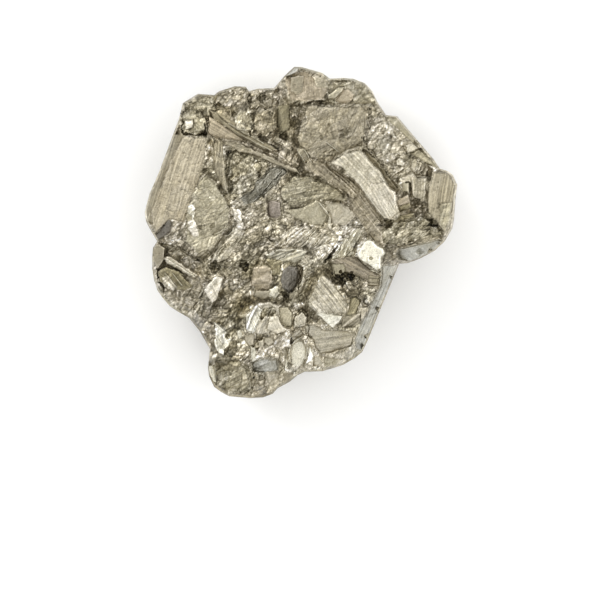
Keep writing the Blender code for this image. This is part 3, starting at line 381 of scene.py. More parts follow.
group_side 21.2 -0.4 -0.05 beige 0.05 - : -3.5 -12.0, -2.0 -11.9, -1.3 -12.9, -1.5 -15.1, -2.4 -15.2,
  -3.3 -14.0;
group_under 20.8 0.1 0.4 light 0.05 - : -9.0 -16.4, -7.4 -16.2, -7.6 -18.0, -8.2 -18.2, -8.9 -17.4;
bright_tooth 20.8 -0.1 0.15 pale 0.3 - : -1.2 -13.6, 0.2 -12.7, 1.0 -13.4, 0.6 -15.0, -1.2 -15.2;
cream_crystal 22.4 -0.05 0.08 pale 0.3 -50 0.9 0.08 : 2.1 -9.5, 3.4 -6.9, 5.3 -8.6, 6.4 -10.2, 7.6 -11.6,
  7.2 -12.9, 2.4 -12.9, 1.1 -11.5, 1.4 -10.3;
white_triangle 21.6 0.0 0.22 bone 0.05 - : 2.4 -13.0, 3.4 -12.8, 6.5 -13.4, 6.1 -14.2, 5.1 -15.2, 3.7 -14.0;
olive_wedge 20.6 -0.25 -0.05 green 0.05 62 0.8 0.08 : 7.6 -12.3, 7.8 -10.5, 8.8 -10.2, 9.6 -10.8, 8.9 -12.9,
  7.8 -14.0, 6.6 -14.4, 7.1 -13.2;
wedge_light 20.4 -0.1 0.1 light 0.1 - : 9.1 -11.9, 10.7 -11.8, 10.8 -12.9, 9.7 -14.0, 9.0 -13.2;
wedge_steps 20.4 -0.3 0.35 light 0.2 35 0.6 0.3 : 6.6 -13.6, 8.6 -13.0, 9.6 -12.7, 9.4 -14.4, 8.4 -15.2,
  6.4 -15.2;
big_smooth_facet 19.2 -0.04 0.22 pale 0.05 8 1.1 0.05 : 0.4 -14.9, 2.0 -14.7, 3.6 -15.6, 6.0 -15.6,
  8.6 -16.0, 9.0 -17.0, 7.8 -18.3, 5.0 -19.3, 3.0 -19.5, 2.2 -18.3, 1.9 -17.2, 0.7 -16.3;
green_corner 19.6 0.05 0.2 pale 0.1 - : -1.8 -16.4, -0.2 -15.5, 0.6 -16.3, -0.6 -17.1, -1.7 -17.9;
white_strip 19.4 -0.1 -0.3 white 0.1 - : 1.1 -17.9, 1.7 -18.0, 2.0 -19.1, 1.6 -20.4, 0.8 -20.9, 1.1 -19.6;
oval_facet 18.9 -0.05 -0.1 bright 0.0 - : -1.8 -19.4, -1.5 -18.0, -0.6 -17.2, 0.3 -17.1, 0.9 -18.2,
  0.9 -19.8, 0.3 -21.0, -0.6 -21.5, -1.4 -20.9;
lower_edge_facet 17.6 -0.05 0.25 pale 0.1 - : 2.1 -19.8, 3.3 -19.7, 3.6 -21.1, 1.8 -21.5;
lower_edge_right 17.4 -0.1 0.3 beige 0.2 - : 3.7 -19.9, 5.2 -19.9, 6.4 -20.4, 5.6 -21.1, 3.7 -21.4;
broken_white 20.8 -0.14 -0.22 white 0.4 - : -13.9 -14.2, -12.6 -14.6, -11.7 -16.2, -10.9 -17.2, -12.2 -18.8,
  -12.2 -19.8, -13.2 -19.2, -13.9 -17.8, -13.6 -16.2;
white_bit 20.9 -0.05 -0.05 bright 0.1 - : -10.4 -15.8, -9.6 -15.4, -9.0 -16.2, -9.9 -17.0;
white_edge 21.0 -0.05 0.0 light 0.1 - : -6.9 -17.3, -6.0 -17.0, -5.9 -18.2, -6.6 -18.4;
small_grey_facet 20.8 0.1 0.25 light 0.0 - : -5.8 -16.8, -4.6 -16.7, -4.4 -17.6, -5.2 -18.2, -5.9 -17.5;
white_blade 21.0 0.05 -0.1 bone 0.1 88 0.7 0.3 : -8.1 -18.2, -7.3 -18.4, -7.2 -20.8, -8.0 -20.2;
foot 18.2 0.06 0.42 beige 0.7 - : -13.1 -20.8, -10.5 -20.3, -8.6 -21.2, -7.6 -23.0, -7.8 -25.7, -11.0 -25.8,
  -12.7 -25.0, -13.5 -24.0, -13.4 -22.0;
upright_flake 19.4 -0.1 0.05 bright 0.1 80 0.5 0.1 : -2.5 -18.4, -1.9 -18.4, -2.1 -21.4, -2.7 -21.8;
grey_slab 19.0 0.02 0.1 steel 0.2 20 0.9 0.06 : -7.8 -21.0, -6.6 -20.1, -3.8 -20.1, -3.5 -21.9, -5.3 -22.5,
  -7.7 -22.3;
foot_bevel 17.2 0.0 -0.15 bone 0.05 - : -14.6 -21.4, -13.8 -21.0, -13.5 -24.0, -14.2 -23.8, -14.7 -22.6;
foot_crystal 18.2 -0.12 0.42 light 0.5 - : -5.9 -22.6, -4.8 -21.9, -3.4 -22.3, -3.1 -23.5, -3.6 -24.5,
  -5.2 -25.2, -6.1 -24.2;
foot_side 17.2 -0.4 0.4 grey 0.1 - : -2.9 -22.4, -1.2 -22.4, -1.8 -23.6, -2.8 -24.2;
right_bevel 16.2 -1.45 0.6 steel 0.1 67 0.45 0.04 : 13.0 -5.2, 15.3 -5.3, 13.0 -11.1, 10.5 -17.0, 9.6 -18.8,
  8.8 -18.6, 8.6 -17.2, 9.6 -14.4, 11.2 -11.6, 12.7 -8.6;
""")
print(len(FACES), "faces are named")

# %% Faces that pass into their surroundings without a clear edge
MERGED = set("""
left_block left_block_bevel slanting_band salt_and_pepper slanting_field corner_cap round_corner_crystal
smooth_plate upper_ridge lower_ridge olive_upright top_crystal top_light_facet top_edge_grain pink_top
top_smooth top_strip grey_plate block_flake_lower block_flake_upper upper_right_edge upper_right_shoulder
under_shoulder tongue_low right_cube_low step_facet_top ridged_facet lower_right_face lower_ledge
smooth_bevel pale_face upright_strip mauve_facet groove_wall upper_plate streaked_band middle_facet
middle_facet_right golden_arc blade_fan flaky_middle slit_blades brown_facet striped_step olive_facet
pink_facet olive_plate lower_left_lump lump_golden lump_streaks rusty_patch group_white cream_crystal
big_smooth_facet green_corner oval_facet lower_edge_facet lower_edge_right foot grey_slab foot_bevel
foot_crystal foot_side right_bevel
""".split())
print(len(MERGED), "of them have soft edges")

# %% [markdown]
# ## What lies between the faces
#
# The stretches between the named faces are masses of small crystals. They differ in tone from place to
# place, so soft patches say which tone lies where, and every point takes the blend of those near it. As
# with the faces, these tones are partly painted reflection, and the two dark patches over deep hollows
# are painted shade.

# %% Tones of the grainy stretches: x, y, radius, tone
# The two dark patches lie over deep hollows: painted shade.
PATCHES = (
    (-1.0, 7.2, 3.2, "grey"), (-8.8, 9.0, 2.6, "beige"), (6.3, 7.5, 1.6, "grey"), (3.0, 6.5, 1.8, "beige"),
    (-10.0, 3.0, 1.6, "light"), (-11.5, -3.0, 1.8, "light"), (-9.0, -5.3, 1.4, "dark"),
    (-11.0, -9.5, 2.0, "grey"), (-9.2, -11.4, 0.8, "olive"), (0.6, -7.6, 1.5, "beige"),
    (6.4, -7.6, 1.6, "dark"), (8.0, -9.2, 1.2, "grey"), (-15.5, -13.5, 1.8, "grey"),
    (-7.0, -18.5, 1.8, "light"), (-6.0, -21.0, 1.6, "grey"), (-10.2, -15.0, 1.2, "beige"),
    (-13.2, -20.0, 1.0, "light"), (-12.1, 19.8, 1.1, "olive"), (-3.2, 17.8, 1.2, "olive"),
    (2.0, 20.2, 0.8, "grey"), (16.5, 9.7, 1.4, "beige"), (19.2, 4.2, 1.0, "grey"), (19.5, 1.0, 1.6, "grey"),
    (-19.5, -4.0, 1.6, "grey"), (-18.0, -11.0, 1.6, "beige"), (14.0, -6.5, 2.0, "grey"),
    (12.3, -10.6, 2.0, "grey"), (10.0, -16.0, 2.0, "beige"), (2.5, -21.2, 1.4, "light"),
    (-1.5, -22.9, 1.2, "beige"), (-14.5, -3.5, 1.2, "beige"), (-6.0, 1.0, 2.0, "light"),
    (-2.0, 4.2, 1.4, "light"), (-1.0, -0.5, 1.6, "light"), (8.0, -2.5, 1.4, "pale"),
    (1.0, -14.2, 1.0, "brown"), (-9.8, -13.2, 1.0, "green"), (4.0, -10.0, 2.0, "light"),
    (14.0, 14.6, 3.4, "light"), (4.6, 16.6, 4.0, "grey"), (-7.0, 21.6, 2.4, "grey"),
    (4.0, 23.4, 3.0, "beige"), (-21.0, 6.0, 4.0, "light"), (23.0, 6.0, 3.0, "light"),
    (-10.6, -23.4, 2.6, "brown"),
)  # fmt: skip


def tone_between_faces(x, y):
    """Each patch weighs exp(-distance squared / radius squared), and these weights average the tones."""
    total = np.full(x.shape, 1e-4)
    tone = np.multiply.outer(total, np.array(TONES["beige"]))
    for middle_x, middle_y, radius, name in PATCHES:
        weight = np.exp(-((x - middle_x) ** 2 + (y - middle_y) ** 2) / (1.6 * radius) ** 2)
        total += weight
        tone += np.multiply.outer(weight, np.array(TONES[name]))
    return tone / total[..., None]


# %% Lively stretches, where flat facets of all tones lie side by side: x, y, radius
LIVELY = ((-1.0, -1.0, 6.0), (-6.5, -12.5, 6.0), (6.0, -8.5, 4.5), (-9.5, -17.5, 5.0), (-14.0, -8.0, 4.0))


def liveliness(x, y):
    """From 0 to 1: the largest of exp(-distance squared / radius squared) round the lively middles."""
    return np.max([np.exp(-((x - a) ** 2 + (y - b) ** 2) / r**2) for a, b, r in LIVELY], axis=0)


# %% [markdown]
# ## Holes, slits and thin blades
#
# The dark accents of the lump are deep hollows between crystals, and narrow slits where plates stand on
# edge; their darkening is painted shade. Thin bright lines are the opposite: edges of blades that stand a
# little proud, lightened as a painted highlight.

# %% Reading a table of numbers
def read_rows(table):
    """A list of tuples of numbers: commas part the rows, and spaces part the numbers of a row."""
    return [tuple(float(value) for value in row.split()) for row in table.split(",")]


# %% Hollows: x, y, radius, depth
PITS = read_rows("""
-10.9 18.9 0.7 2.2, -2.6 15.2 0.7 2.2, -0.9 17.5 0.8 1.8, 6.9 15.9 0.85 1.0, -6.4 21.1 0.8 2.0,
-2.4 -10.2 0.8 3.0, -9.0 -5.3 0.9 2.2, 6.2 -7.4 1.1 3.0, 7.7 -6.9 0.7 2.4, 4.6 -4.0 0.4 2.0,
5.2 -3.0 0.4 2.0, 11.1 -4.2 0.35 1.2, -11.7 -16.6 0.6 2.0, -13.9 -5.4 0.9 2.6, 13.9 1.6 0.7 1.6,
12.8 10.6 0.4 1.0, -15.8 0.8 0.5 0.8, -14.0 0.9 0.45 1.0, 18.9 -2.9 0.55 0.9, -16.5 18.5 0.35 0.8,
-8.4 18.6 0.35 1.0, 3.3 15.1 0.3 0.7, 1.6 15.6 0.3 0.7, 4.3 17.1 0.3 0.7, 18.5 11.8 0.35 0.9,
19.3 9.5 0.35 0.8, 15.5 12.1 0.35 0.9, 3.4 0.9 0.3 0.8, 8.4 1.3 0.35 0.9, -0.1 5.3 0.35 0.9
""")

# %% Slits: the two ends, width, depth
SLITS = read_rows("""
-5.4 -1.0 -4.4 -1.6 0.6 1.4, -4.0 -4.6 -1.0 -3.0 0.5 1.0, 3.9 -4.9 5.6 -2.2 1.4 2.0,
5.4 -2.6 7.0 -0.6 0.45 1.2, 6.4 -2.0 6.9 -1.1 0.5 1.0, -11.7 8.6 -11.6 9.9 0.5 1.2,
-0.1 -5.8 -0.4 -9.2 0.7 1.6, -15.0 13.5 -18.2 3.5 0.28 0.35, -18.3 6.2 -19.2 4.0 0.25 0.3,
-18.4 15.3 -14.8 16.4 0.45 0.7, -13.6 19.3 -12.6 18.0 0.4 0.9, -12.6 18.0 -10.2 16.2 0.4 0.9,
-10.2 16.2 -5.5 13.3 0.4 0.8, -8.1 16.0 -8.1 15.2 0.6 1.2, 0.0 19.9 1.5 20.5 0.5 1.0,
1.5 20.5 3.0 20.2 0.5 1.0, 3.0 20.2 6.0 20.0 0.4 0.9, 6.0 20.0 7.2 20.1 0.4 0.9,
7.2 20.1 8.4 20.9 0.4 0.8, 5.2 11.6 7.2 12.9 0.4 1.0, 7.2 12.9 9.8 13.5 0.4 1.0,
9.8 13.4 10.1 15.2 0.4 0.9, 10.3 15.4 10.8 17.6 0.4 0.9, 10.8 17.6 10.6 19.8 0.4 0.9,
10.4 13.2 13.0 10.6 0.9 1.4, 13.0 10.6 14.2 8.6 0.9 1.4, 14.2 8.6 15.4 7.0 0.8 1.2,
17.2 12.4 18.5 11.8 0.4 0.8, 18.5 11.8 20.3 10.8 0.4 0.8, 20.3 10.8 22.3 10.1 0.35 0.7,
20.3 9.6 20.0 6.9 0.5 0.9, 20.0 6.9 20.1 3.4 0.5 0.9, 20.1 3.4 22.6 -0.1 0.45 0.9,
15.6 -2.5 18.6 -1.9 0.4 0.8, 18.6 -1.9 22.4 -0.9 0.4 0.8, 9.2 -15.0 8.0 -17.6 0.4 0.7,
8.0 -17.6 6.9 -19.2 0.4 0.7, 13.4 -4.4 12.6 -8.6 0.4 0.8, 12.6 -8.6 10.2 -13.0 0.35 0.7,
10.2 -13.6 12.3 -12.8 0.25 0.4, -6.6 6.0 -3.0 9.6 0.6 1.2, -8.0 7.2 -5.0 10.6 0.35 0.6,
-13.6 -20.4 -8.8 -20.4 0.5 1.0, -13.6 -21.0 -13.4 -24.4 0.35 0.7, -23.2 -2.0 -20.4 -1.6 0.5 1.0,
-20.4 -1.6 -15.6 -5.0 0.6 1.2, -15.6 -9.0 -17.4 -13.0 0.6 1.2, -18.2 3.0 -18.5 0.0 0.45 0.9,
8.6 -4.0 9.2 -2.9 0.4 1.0, 1.0 -12.9 1.2 -17.0 0.5 1.2, 2.2 -13.0 5.0 -15.4 0.35 0.8
""")

# %% Blade edges that stand proud: the two ends, width, height
BLADES = read_rows("""
9.5 7.3 13.2 2.2 0.35 0.3, -21.6 -4.2 -16.9 -7.1 0.5 0.35, -6.0 -3.5 -4.0 -2.8 0.5 0.4,
-4.0 -2.8 -1.0 -2.8 0.5 0.4, 3.0 4.6 4.7 2.5 0.4 0.3, 4.7 2.5 4.9 0.4 0.4 0.3,
0.6 13.0 1.6 11.2 0.35 0.4, -0.5 13.0 0.6 11.2 0.35 0.4, 4.2 14.2 5.9 12.8 0.3 0.3,
-13.6 -0.6 -11.6 1.2 0.45 0.5, -13.8 -2.0 -10.6 0.6 0.45 0.5, -13.4 -3.6 -10.2 -1.0 0.45 0.5,
-2.6 -2.0 0.2 0.9 0.45 0.5, -1.4 -2.2 1.4 0.7 0.4 0.5, 0.0 -2.4 2.6 0.4 0.45 0.5,
1.6 -2.4 3.8 0.0 0.4 0.5, 5.6 -4.0 7.6 -0.8 0.45 0.5, 6.8 -4.2 8.6 -1.6 0.4 0.5,
-11.4 17.2 -6.0 14.2 0.35 0.35, -9.6 15.6 -4.0 12.6 0.35 0.35, -21.4 -6.8 -20.0 -8.6 0.4 0.4,
-20.6 -6.4 -19.0 -8.4 0.4 0.4, -14.2 -8.0 -13.0 -10.6 0.4 0.3, -13.6 -14.6 -11.8 -16.0 0.4 0.4,
-13.6 -16.6 -12.2 -18.6 0.4 0.4, -8.2 -13.4 -7.0 -15.6 0.4 0.35, -7.4 -12.2 -6.4 -14.2 0.4 0.35
""")
print(len(PATCHES), "patches,", len(PITS), "hollows,", len(SLITS), "slits,", len(BLADES), "blade edges")

# %% [markdown]
# ## How far a point is inside a face
#
# Every face needs to know, at each point, how far the nearest of its edges is and on which side. With
# that number one rule makes the flat top, its worn edge and the wall that falls away outside it.

# %% Distances
def to_segment(x, y, ends):
    """The distance to a line from one end to the other: drop a perpendicular and stay between the ends."""
    x0, y0, x1, y1 = ends
    along_x, along_y = x1 - x0, y1 - y0
    t = ((x - x0) * along_x + (y - y0) * along_y) / (along_x**2 + along_y**2)
    t = np.clip(t, 0.0, 1.0)
    return np.hypot(x - x0 - t * along_x, y - y0 - t * along_y)


def inside_by(x, y, corners):
    """The distance to the nearest edge, positive inside: a point is inside if a line to the right of it
    crosses the edges an odd number of times."""
    nearest = np.full(x.shape, 1e9)
    crossed = np.zeros(x.shape, dtype=bool)
    for (x0, y0), (x1, y1) in zip(corners, np.roll(corners, -1, axis=0)):
        nearest = np.minimum(nearest, to_segment(x, y, (x0, y0, x1, y1)))
        if y0 != y1:
            spans = (y0 > y) != (y1 > y)
            crossed ^= spans & (x < x0 + (y - y0) * (x1 - x0) / (y1 - y0))
    return np.where(crossed, nearest, -nearest)


# %% [markdown]
# ## Masses of small crystals
#
# The height at a point starts from the smooth swelling of the lump. Crystals of four sizes are added to
# it, each smaller size on the slopes of the larger ones. The number that names a crystal also gives it
# its own tone, so colour and shape always agree.

# %% Grains of four sizes, and their hue
SIZES = (3.0, 1.5, 0.75, 0.38)
SHARES = (0.18, 0.20, 0.17, 0.24)
MOTTLE = (0.28, 0.66, 0.60, 0.62)
SLOPE, GRAIN_SEED = 1.3, 11
FLOW, DRAWN_OUT = math.radians(40.0), 1.5


def grains(x, y):
    """Crystal fields of four sizes, with the numbers that name their winners and the places on them.

    The flakes run from the lower left to the upper right, so the places are turned and drawn out first.
    """
    along = (x * math.cos(FLOW) + y * math.sin(FLOW)) / DRAWN_OUT
    across = y * math.cos(FLOW) - x * math.sin(FLOW)
    return [crystal_field(along, across, size, SLOPE, GRAIN_SEED + 10 * k) for k, size in enumerate(SIZES)]


def hue(layers):
    """Some crystals are a little golden, some a little cool: red up and blue down, or the reverse."""
    warm = (layers[1][1] * 7.0) % 1.0 - 0.5 + 0.6 * ((layers[2][1] * 5.0) % 1.0 - 0.5)
    return np.stack([1.0 + 0.03 * warm, 1.0 + 0.01 * warm, 1.04 - 0.08 * warm], axis=-1)


print("crystals of", SIZES, "mm, drawn out towards", round(math.degrees(FLOW)), "degrees")

# %% [markdown]
# ## Cracks and pinholes
#
# Grown crystals hold fine cracks and small pits. Soft noise passes through zero along thin wandering
# lines, so the zero lines of three noises are the cracks, and the highest spots of a fine one the pits.

# %% Fine marks
HAIR, HAIR_DEPTH, HAIR_DARK = 0.07, 0.10, 0.45
HAIR_NOISES = ((2.4, 21), (1.2, 22), (0.7, 23))


def hairlines(x, y):
    """Thin wandering cracks: they run where soft noise passes through zero, in three sizes of noise."""
    line = np.zeros(x.shape)
    for cell, seed in HAIR_NOISES:
        waves = smooth_noise(x, y, cell, seed) + 0.35 * smooth_noise(x, y, 0.4 * cell, seed + 5)
        line = np.maximum(line, 1.0 - np.abs(waves) * cell / (4.0 * HAIR))
    return np.clip(line, 0.0, 1.0)


def pinholes(x, y):
    """Small dark dots where a fine noise is near its highest."""
    return np.clip((smooth_noise(x, y, 0.42, 31) - 0.72) * 6.0, 0.0, 1.0)


print("cracks are", HAIR, "mm wide")

# %% [markdown]
# ## Laying the faces
#
# Each named face is a sloping plane. Near it the ground comes up to a little under its edge. Inside it the
# plane, its lines and its own share of grain take the ground's place, and outside it a steep wall falls
# away. Its edge is a little ragged, worn and outlined, and only faintly so where the face is merged.

# %% Where each face lies
STEP, LOW_STEP, SUNK, NEARBY = 0.45, 0.20, 1.8, 2.5


def face_places(x, y, winner):
    """For each named face: the points near it, their depth inside its ragged edge, and its plane there."""
    ragged = smooth_noise(x, y, 0.8, 5) + 0.6 * smooth_noise(x, y, 0.35, 6)
    places = []
    for _, height, rise_x, rise_y, _, rough, _, corners in FACES:
        middle = corners.mean(0)
        least, most = corners.min(0) - NEARBY, corners.max(0) + NEARBY
        near = np.flatnonzero((x > least[0]) & (x < most[0]) & (y > least[1]) & (y < most[1]))
        px, py = x[near], y[near]
        depth = inside_by(px, py, corners) + (0.06 + 0.20 * rough) * ragged[near]
        depth = depth + 0.5 * (0.15 + 0.85 * rough) * (winner[near] - 0.5)
        fall = -2.0 * SWELL / SWELL_REACH**2 * (middle - MIDDLE)
        slope_x, slope_y = rise_x + fall[0], rise_y + fall[1]
        plane = height + swell(*middle) + slope_x * (px - middle[0]) + slope_y * (py - middle[1])
        places.append((near, depth, plane))
    return places


def raise_ground(level, places):
    """Near a face the ground comes up to a step under its edge, then falls off as d + d squared / 2."""
    for (face, *_), (near, depth, plane) in zip(FACES, places):
        step = LOW_STEP if face in MERGED else STEP
        away = np.maximum(-depth, 0.0)
        level[near] = np.maximum(level[near], plane - step - away - 0.5 * away**2)


# %% Planes, walls and growth lines
WALL, PAINTED_WALL_SHADE = 12.0, 0.9
LINE, LINE_DEPTH, LINE_DARK, FAINT = 0.10, 0.10, 0.42, 0.22
WORN, WORN_BY = 0.28, 0.10
GROUND_STREAK, FACE_STREAK, SMOOTH_STREAK = 0.8, 0.7, 0.2


def uneven(layers, weights):
    """Crystal numbers of the three smaller sizes, centred on zero and added up by their weights."""
    return sum(weight * (layer[1] - 0.5) for weight, layer in zip(weights, layers[1:]))


def lay_faces(x, y, z, level, tone, coarse, layers, places):
    """Lay every named face: inside it the plane, its lines and its share of grain; outside it the wall."""
    fine = 0.30 * layers[1][0] + 0.5 * layers[2][0] + 0.25 * layers[3][0]
    mottle, speckle = uneven(layers, (0.5, 0.8, 0.4)), uneven(layers, (0.3, 0.6, 1.1))
    hues = hue(layers)
    streak = np.stack([*layers[1][2], np.full(x.shape, GROUND_STREAK)])
    broken = np.clip(0.75 + 0.6 * smooth_noise(x, y, 1.1, 7), 0.0, 1.0)
    for k, ((face, *_, name, rough, lines, _), (near, depth, plane)) in enumerate(zip(FACES, places)):
        px, py = x[near], y[near]
        inside = depth > 0.0
        if inside.any():
            sunk = np.median(level[near][inside] - plane[inside]) - SUNK
            plane = plane + max(sunk, 0.0)
        grain = (0.06 + 0.9 * rough) * (fine[near] - 0.35)
        top = plane - WORN_BY * np.clip(1.0 - depth / WORN, 0.0, 1.0) + grain
        shade = (0.12 + 0.8 * rough) * (speckle if rough >= 0.7 else mottle)[near]
        angle, step, deep = lines or (40.0 + 37.0 * k, 1.0, 0.0)
        across = -math.sin(math.radians(angle)) * px + math.cos(math.radians(angle)) * py
        along = math.cos(math.radians(angle)) * px + math.sin(math.radians(angle)) * py
        across = across + 0.12 * smooth_noise(px, py, 2.2, k)
        if lines:
            row = ridges(across, step, k) * (0.85 + 0.3 * smooth_noise(0.15 * along, across, 0.9, k + 40))
            top = top + deep * (row - 0.5)
            shade = shade + (0.35 + 2.0 * deep) * (row - 0.5)
        strength = FACE_STREAK if lines else SMOOTH_STREAK + (GROUND_STREAK - SMOOTH_STREAK) * rough
        own = np.stack([across, along, np.full(px.shape, strength)])
        streak[:, near] = np.where(inside & (lines is not None or rough < 0.4), own, streak[:, near])
        wall = plane - WORN_BY + WALL * depth
        outside = ~inside & (wall > z[near])
        firm = FAINT if face in MERGED else 1.0
        rim = np.clip(1.0 - np.abs(depth) / LINE, 0.0, 1.0) * broken[near] * firm
        z[near] = np.where(inside, top, np.where(outside, wall, z[near])) - LINE_DEPTH * rim
        tint = 1.0 + (0.3 + 0.7 * rough) * (hues[near] - 1.0)
        # A face's colour is its tone from the table, partly painted reflection, times its grain's shade and
        # hue.
        colour = np.array(TONES[name]) * np.exp(shade)[:, None] * tint
        # Painted shade: outside a face its steep wall takes a darker copy of the face's colour.
        around = np.where(outside[:, None], PAINTED_WALL_SHADE * colour, tone[near])
        tone[near] = np.where(inside[:, None], colour, around)
        tone[near] *= (1.0 - LINE_DARK * rim)[:, None]
        coarse[near] = np.where(inside, 0.15 + 0.85 * rough, coarse[near])
    return streak


# %% Slits, blades and hollows
SLIT_WIDTH, SLIT_DEPTH, SLIT_SHADE = 0.38, 0.3, 0.45
PIT_DEPTH, PIT_SHADE = 0.30, 0.60


def cut_and_raise(x, y, z, tone):
    """Slits go down as a V and hollows with steep walls, darkened by painted shade; blades go up as a roof,
    lit by a painted highlight.
    """
    waver = 0.22 * smooth_noise(x, y, 0.9, 12) + 0.10 * smooth_noise(x, y, 0.4, 13)
    for *ends, width, deep in SLITS:
        half = 0.5 * SLIT_WIDTH * width
        share = np.clip(1.0 - (to_segment(x + waver, y - waver, ends) / half), 0.0, 1.0)
        z -= SLIT_DEPTH * deep * share
        # Painted shade: the slit is darkened towards its middle.
        tone *= (1.0 - SLIT_SHADE * share)[:, None]
    for *ends, width, high in BLADES:
        share = np.clip(1.0 - to_segment(x + waver, y - waver, ends) / (0.5 * width), 0.0, 1.0)
        z += high * share
        # Painted highlight: the blade's edge is lightened towards the bright tone.
        tone += (share * 0.5)[:, None] * (np.array(TONES["bright"]) - tone)
    rough_edge = 0.45 * smooth_noise(x, y, 0.8, 9) + 0.35 * smooth_noise(x, y, 0.35, 8)
    for pit_x, pit_y, radius, deep in PITS:
        bowl = 1.0 - np.clip(np.hypot(x - pit_x, y - pit_y) / radius + rough_edge, 0.0, 1.0) ** 2
        z -= PIT_DEPTH * deep * bowl
        # Painted shade on the hollow's floor, darker for deeper hollows.
        tone *= (1.0 - PIT_SHADE * min(1.0, 0.4 + 0.2 * deep) * bowl)[:, None]


# %% The whole upper side
LEVEL_SHARES, LEVELS = (0.0, 0.82, 0.93, 0.985, 1.0), (20.4, 20.4, 18.6, 15.4, 12.0)
GROUND_LIGHT = 0.57


def upper_side(x, y):
    """At flat arrays of points: height in mm, tone, share of grain, streaks and the crystals' numbers.

    The ground's level follows the share of the way to the outline, and the steps above come in order.
    """
    angle = np.arctan2(y - MIDDLE[1], x - MIDDLE[0])
    share = np.hypot(x - MIDDLE[0], y - MIDDLE[1]) / reach(angle)
    layers = grains(x, y)
    level = np.interp(share, LEVEL_SHARES, LEVELS) + swell(x, y)
    places = face_places(x, y, layers[2][1])
    raise_ground(level, places)
    z = level + sum(part * layer[0] for part, layer in zip(SHARES, layers))
    mottle = sum(weight * (layer[1] - 0.5) for weight, layer in zip(MOTTLE, layers))
    lively = liveliness(x, y)
    tone = tone_between_faces(x, y) * np.exp(mottle * (1.0 + 0.7 * lively))[:, None] * hue(layers)
    coarse = np.ones(x.shape)
    streak = lay_faces(x, y, z, level, tone, coarse, layers, places)
    streak[2] *= 1.0 + 0.8 * lively
    crack = hairlines(x, y) * np.clip(1.1 * coarse - 0.1, 0.0, 1.0)
    dot = pinholes(x, y) * (0.6 - 0.3 * coarse)
    z -= HAIR_DEPTH * (crack + dot)
    tone *= ((1.0 + GROUND_LIGHT * coarse) * (1.0 - HAIR_DARK * crack - 0.5 * dot))[:, None]
    cut_and_raise(x, y, z, tone)
    return z, tone, coarse, streak, [layer[1] for layer in layers[1:]]


print("the ground falls from", LEVELS[0], "to", LEVELS[-1], "mm at the outline")

# %% [markdown]
# ## A net that fits the outline
#
# A square net is easy to number but its corners don't fit a lump. So its square shells are bent into
# shells of the outline's own shape: the larger of the two net numbers says which shell, and their ratio
# says where on it. The outermost shells don't run further out but down the flank to the widest place.

# %% The bent net
# HALF is the count of net steps from the middle to the edge, FLAT_SHARE the part of them on the upper side.
HALF = 300
FLAT_SHARE = 0.86
RIM = 0.985


def bent_net():
    """Angle and shell of a square net: shell is max(|a|, |b|), angle is a quarter circle times b / a."""
    a, b = np.meshgrid(*[np.linspace(-1.0, 1.0, 2 * HALF + 1)] * 2, indexing="ij")
    shell = np.maximum(np.abs(a), np.abs(b))
    safe = np.where(shell > 0.0, shell, 1.0)
    wide = np.abs(a) >= np.abs(b)
    east = 0.25 * math.pi * b / np.where(wide, np.where(a == 0.0, safe, a), 1.0) + math.pi * (a < 0.0)
    north = 0.5 * math.pi - 0.25 * math.pi * a / np.where(wide, 1.0, b) + math.pi * (b < 0.0)
    return np.where(wide, east, north), shell


def box_blur(grid, size):
    """The mean over a square of 2 size + 1 net points, as differences of running sums."""
    for axis in (0, 1):
        grid = np.moveaxis(grid, axis, 0)
        padded = np.concatenate([grid[:1].repeat(size + 1, 0), grid, grid[-1:].repeat(size, 0)])
        total = padded.cumsum(0)
        grid = (total[2 * size + 1 :] - total[: -2 * size - 1]) / (2 * size + 1)
        grid = np.moveaxis(grid, 0, axis)
    return grid


# %% The upper side as one net of points
angle, shell = bent_net()
distance = reach(angle)
share = RIM * np.minimum(shell / FLAT_SHARE, 1.0)
x = MIDDLE[0] + share * distance * np.cos(angle)
y = MIDDLE[1] + share * distance * np.sin(angle)
z, tone, coarse, streak, winners = upper_side(x.ravel(), y.ravel())
streak = np.moveaxis(streak.reshape((3,) + x.shape), 0, -1)
z, tone, coarse = z.reshape(x.shape), tone.reshape(x.shape + (3,)), coarse.reshape(x.shape)
print("upper side:", x.size, "points, height", z.min().round(2), "to", z.max().round(2), "mm")

# %% [markdown]
# ## Crystals on an upright side
#
# The flank and the back are covered with crystals too. The same field serves, with the way round as one
# axis and the height as the other, and its cells are counted so that the ring closes without a seam.

# %% The crystals of a ring
ROUND_REACH = 25.0
RINGS = ((32, 0.26), (71, 0.34), (157, 0.40), (330, 0.30))
MOST_INWARD = 2.4


def ring_crystals(arc, drop, seed):
    """How far each point is pressed inwards in mm, its shade and its streaks: four sizes, added up."""
    inward, shade = np.full(arc.shape, 0.75), np.zeros(arc.shape)
    for k, (count, part) in enumerate(RINGS):
        cell = 2.0 * math.pi * ROUND_REACH / count
        field, winner, place = crystal_field(arc, drop, cell, 1.2, seed + 10 * k, wrap=count)
        inward = inward - part * field
        shade = shade + 0.45 * (winner - 0.5)
        if k == 1:
            streak = np.stack([*place, np.full(arc.shape, GROUND_STREAK)], axis=-1)
    return np.clip(inward, 0.0, MOST_INWARD), shade, streak


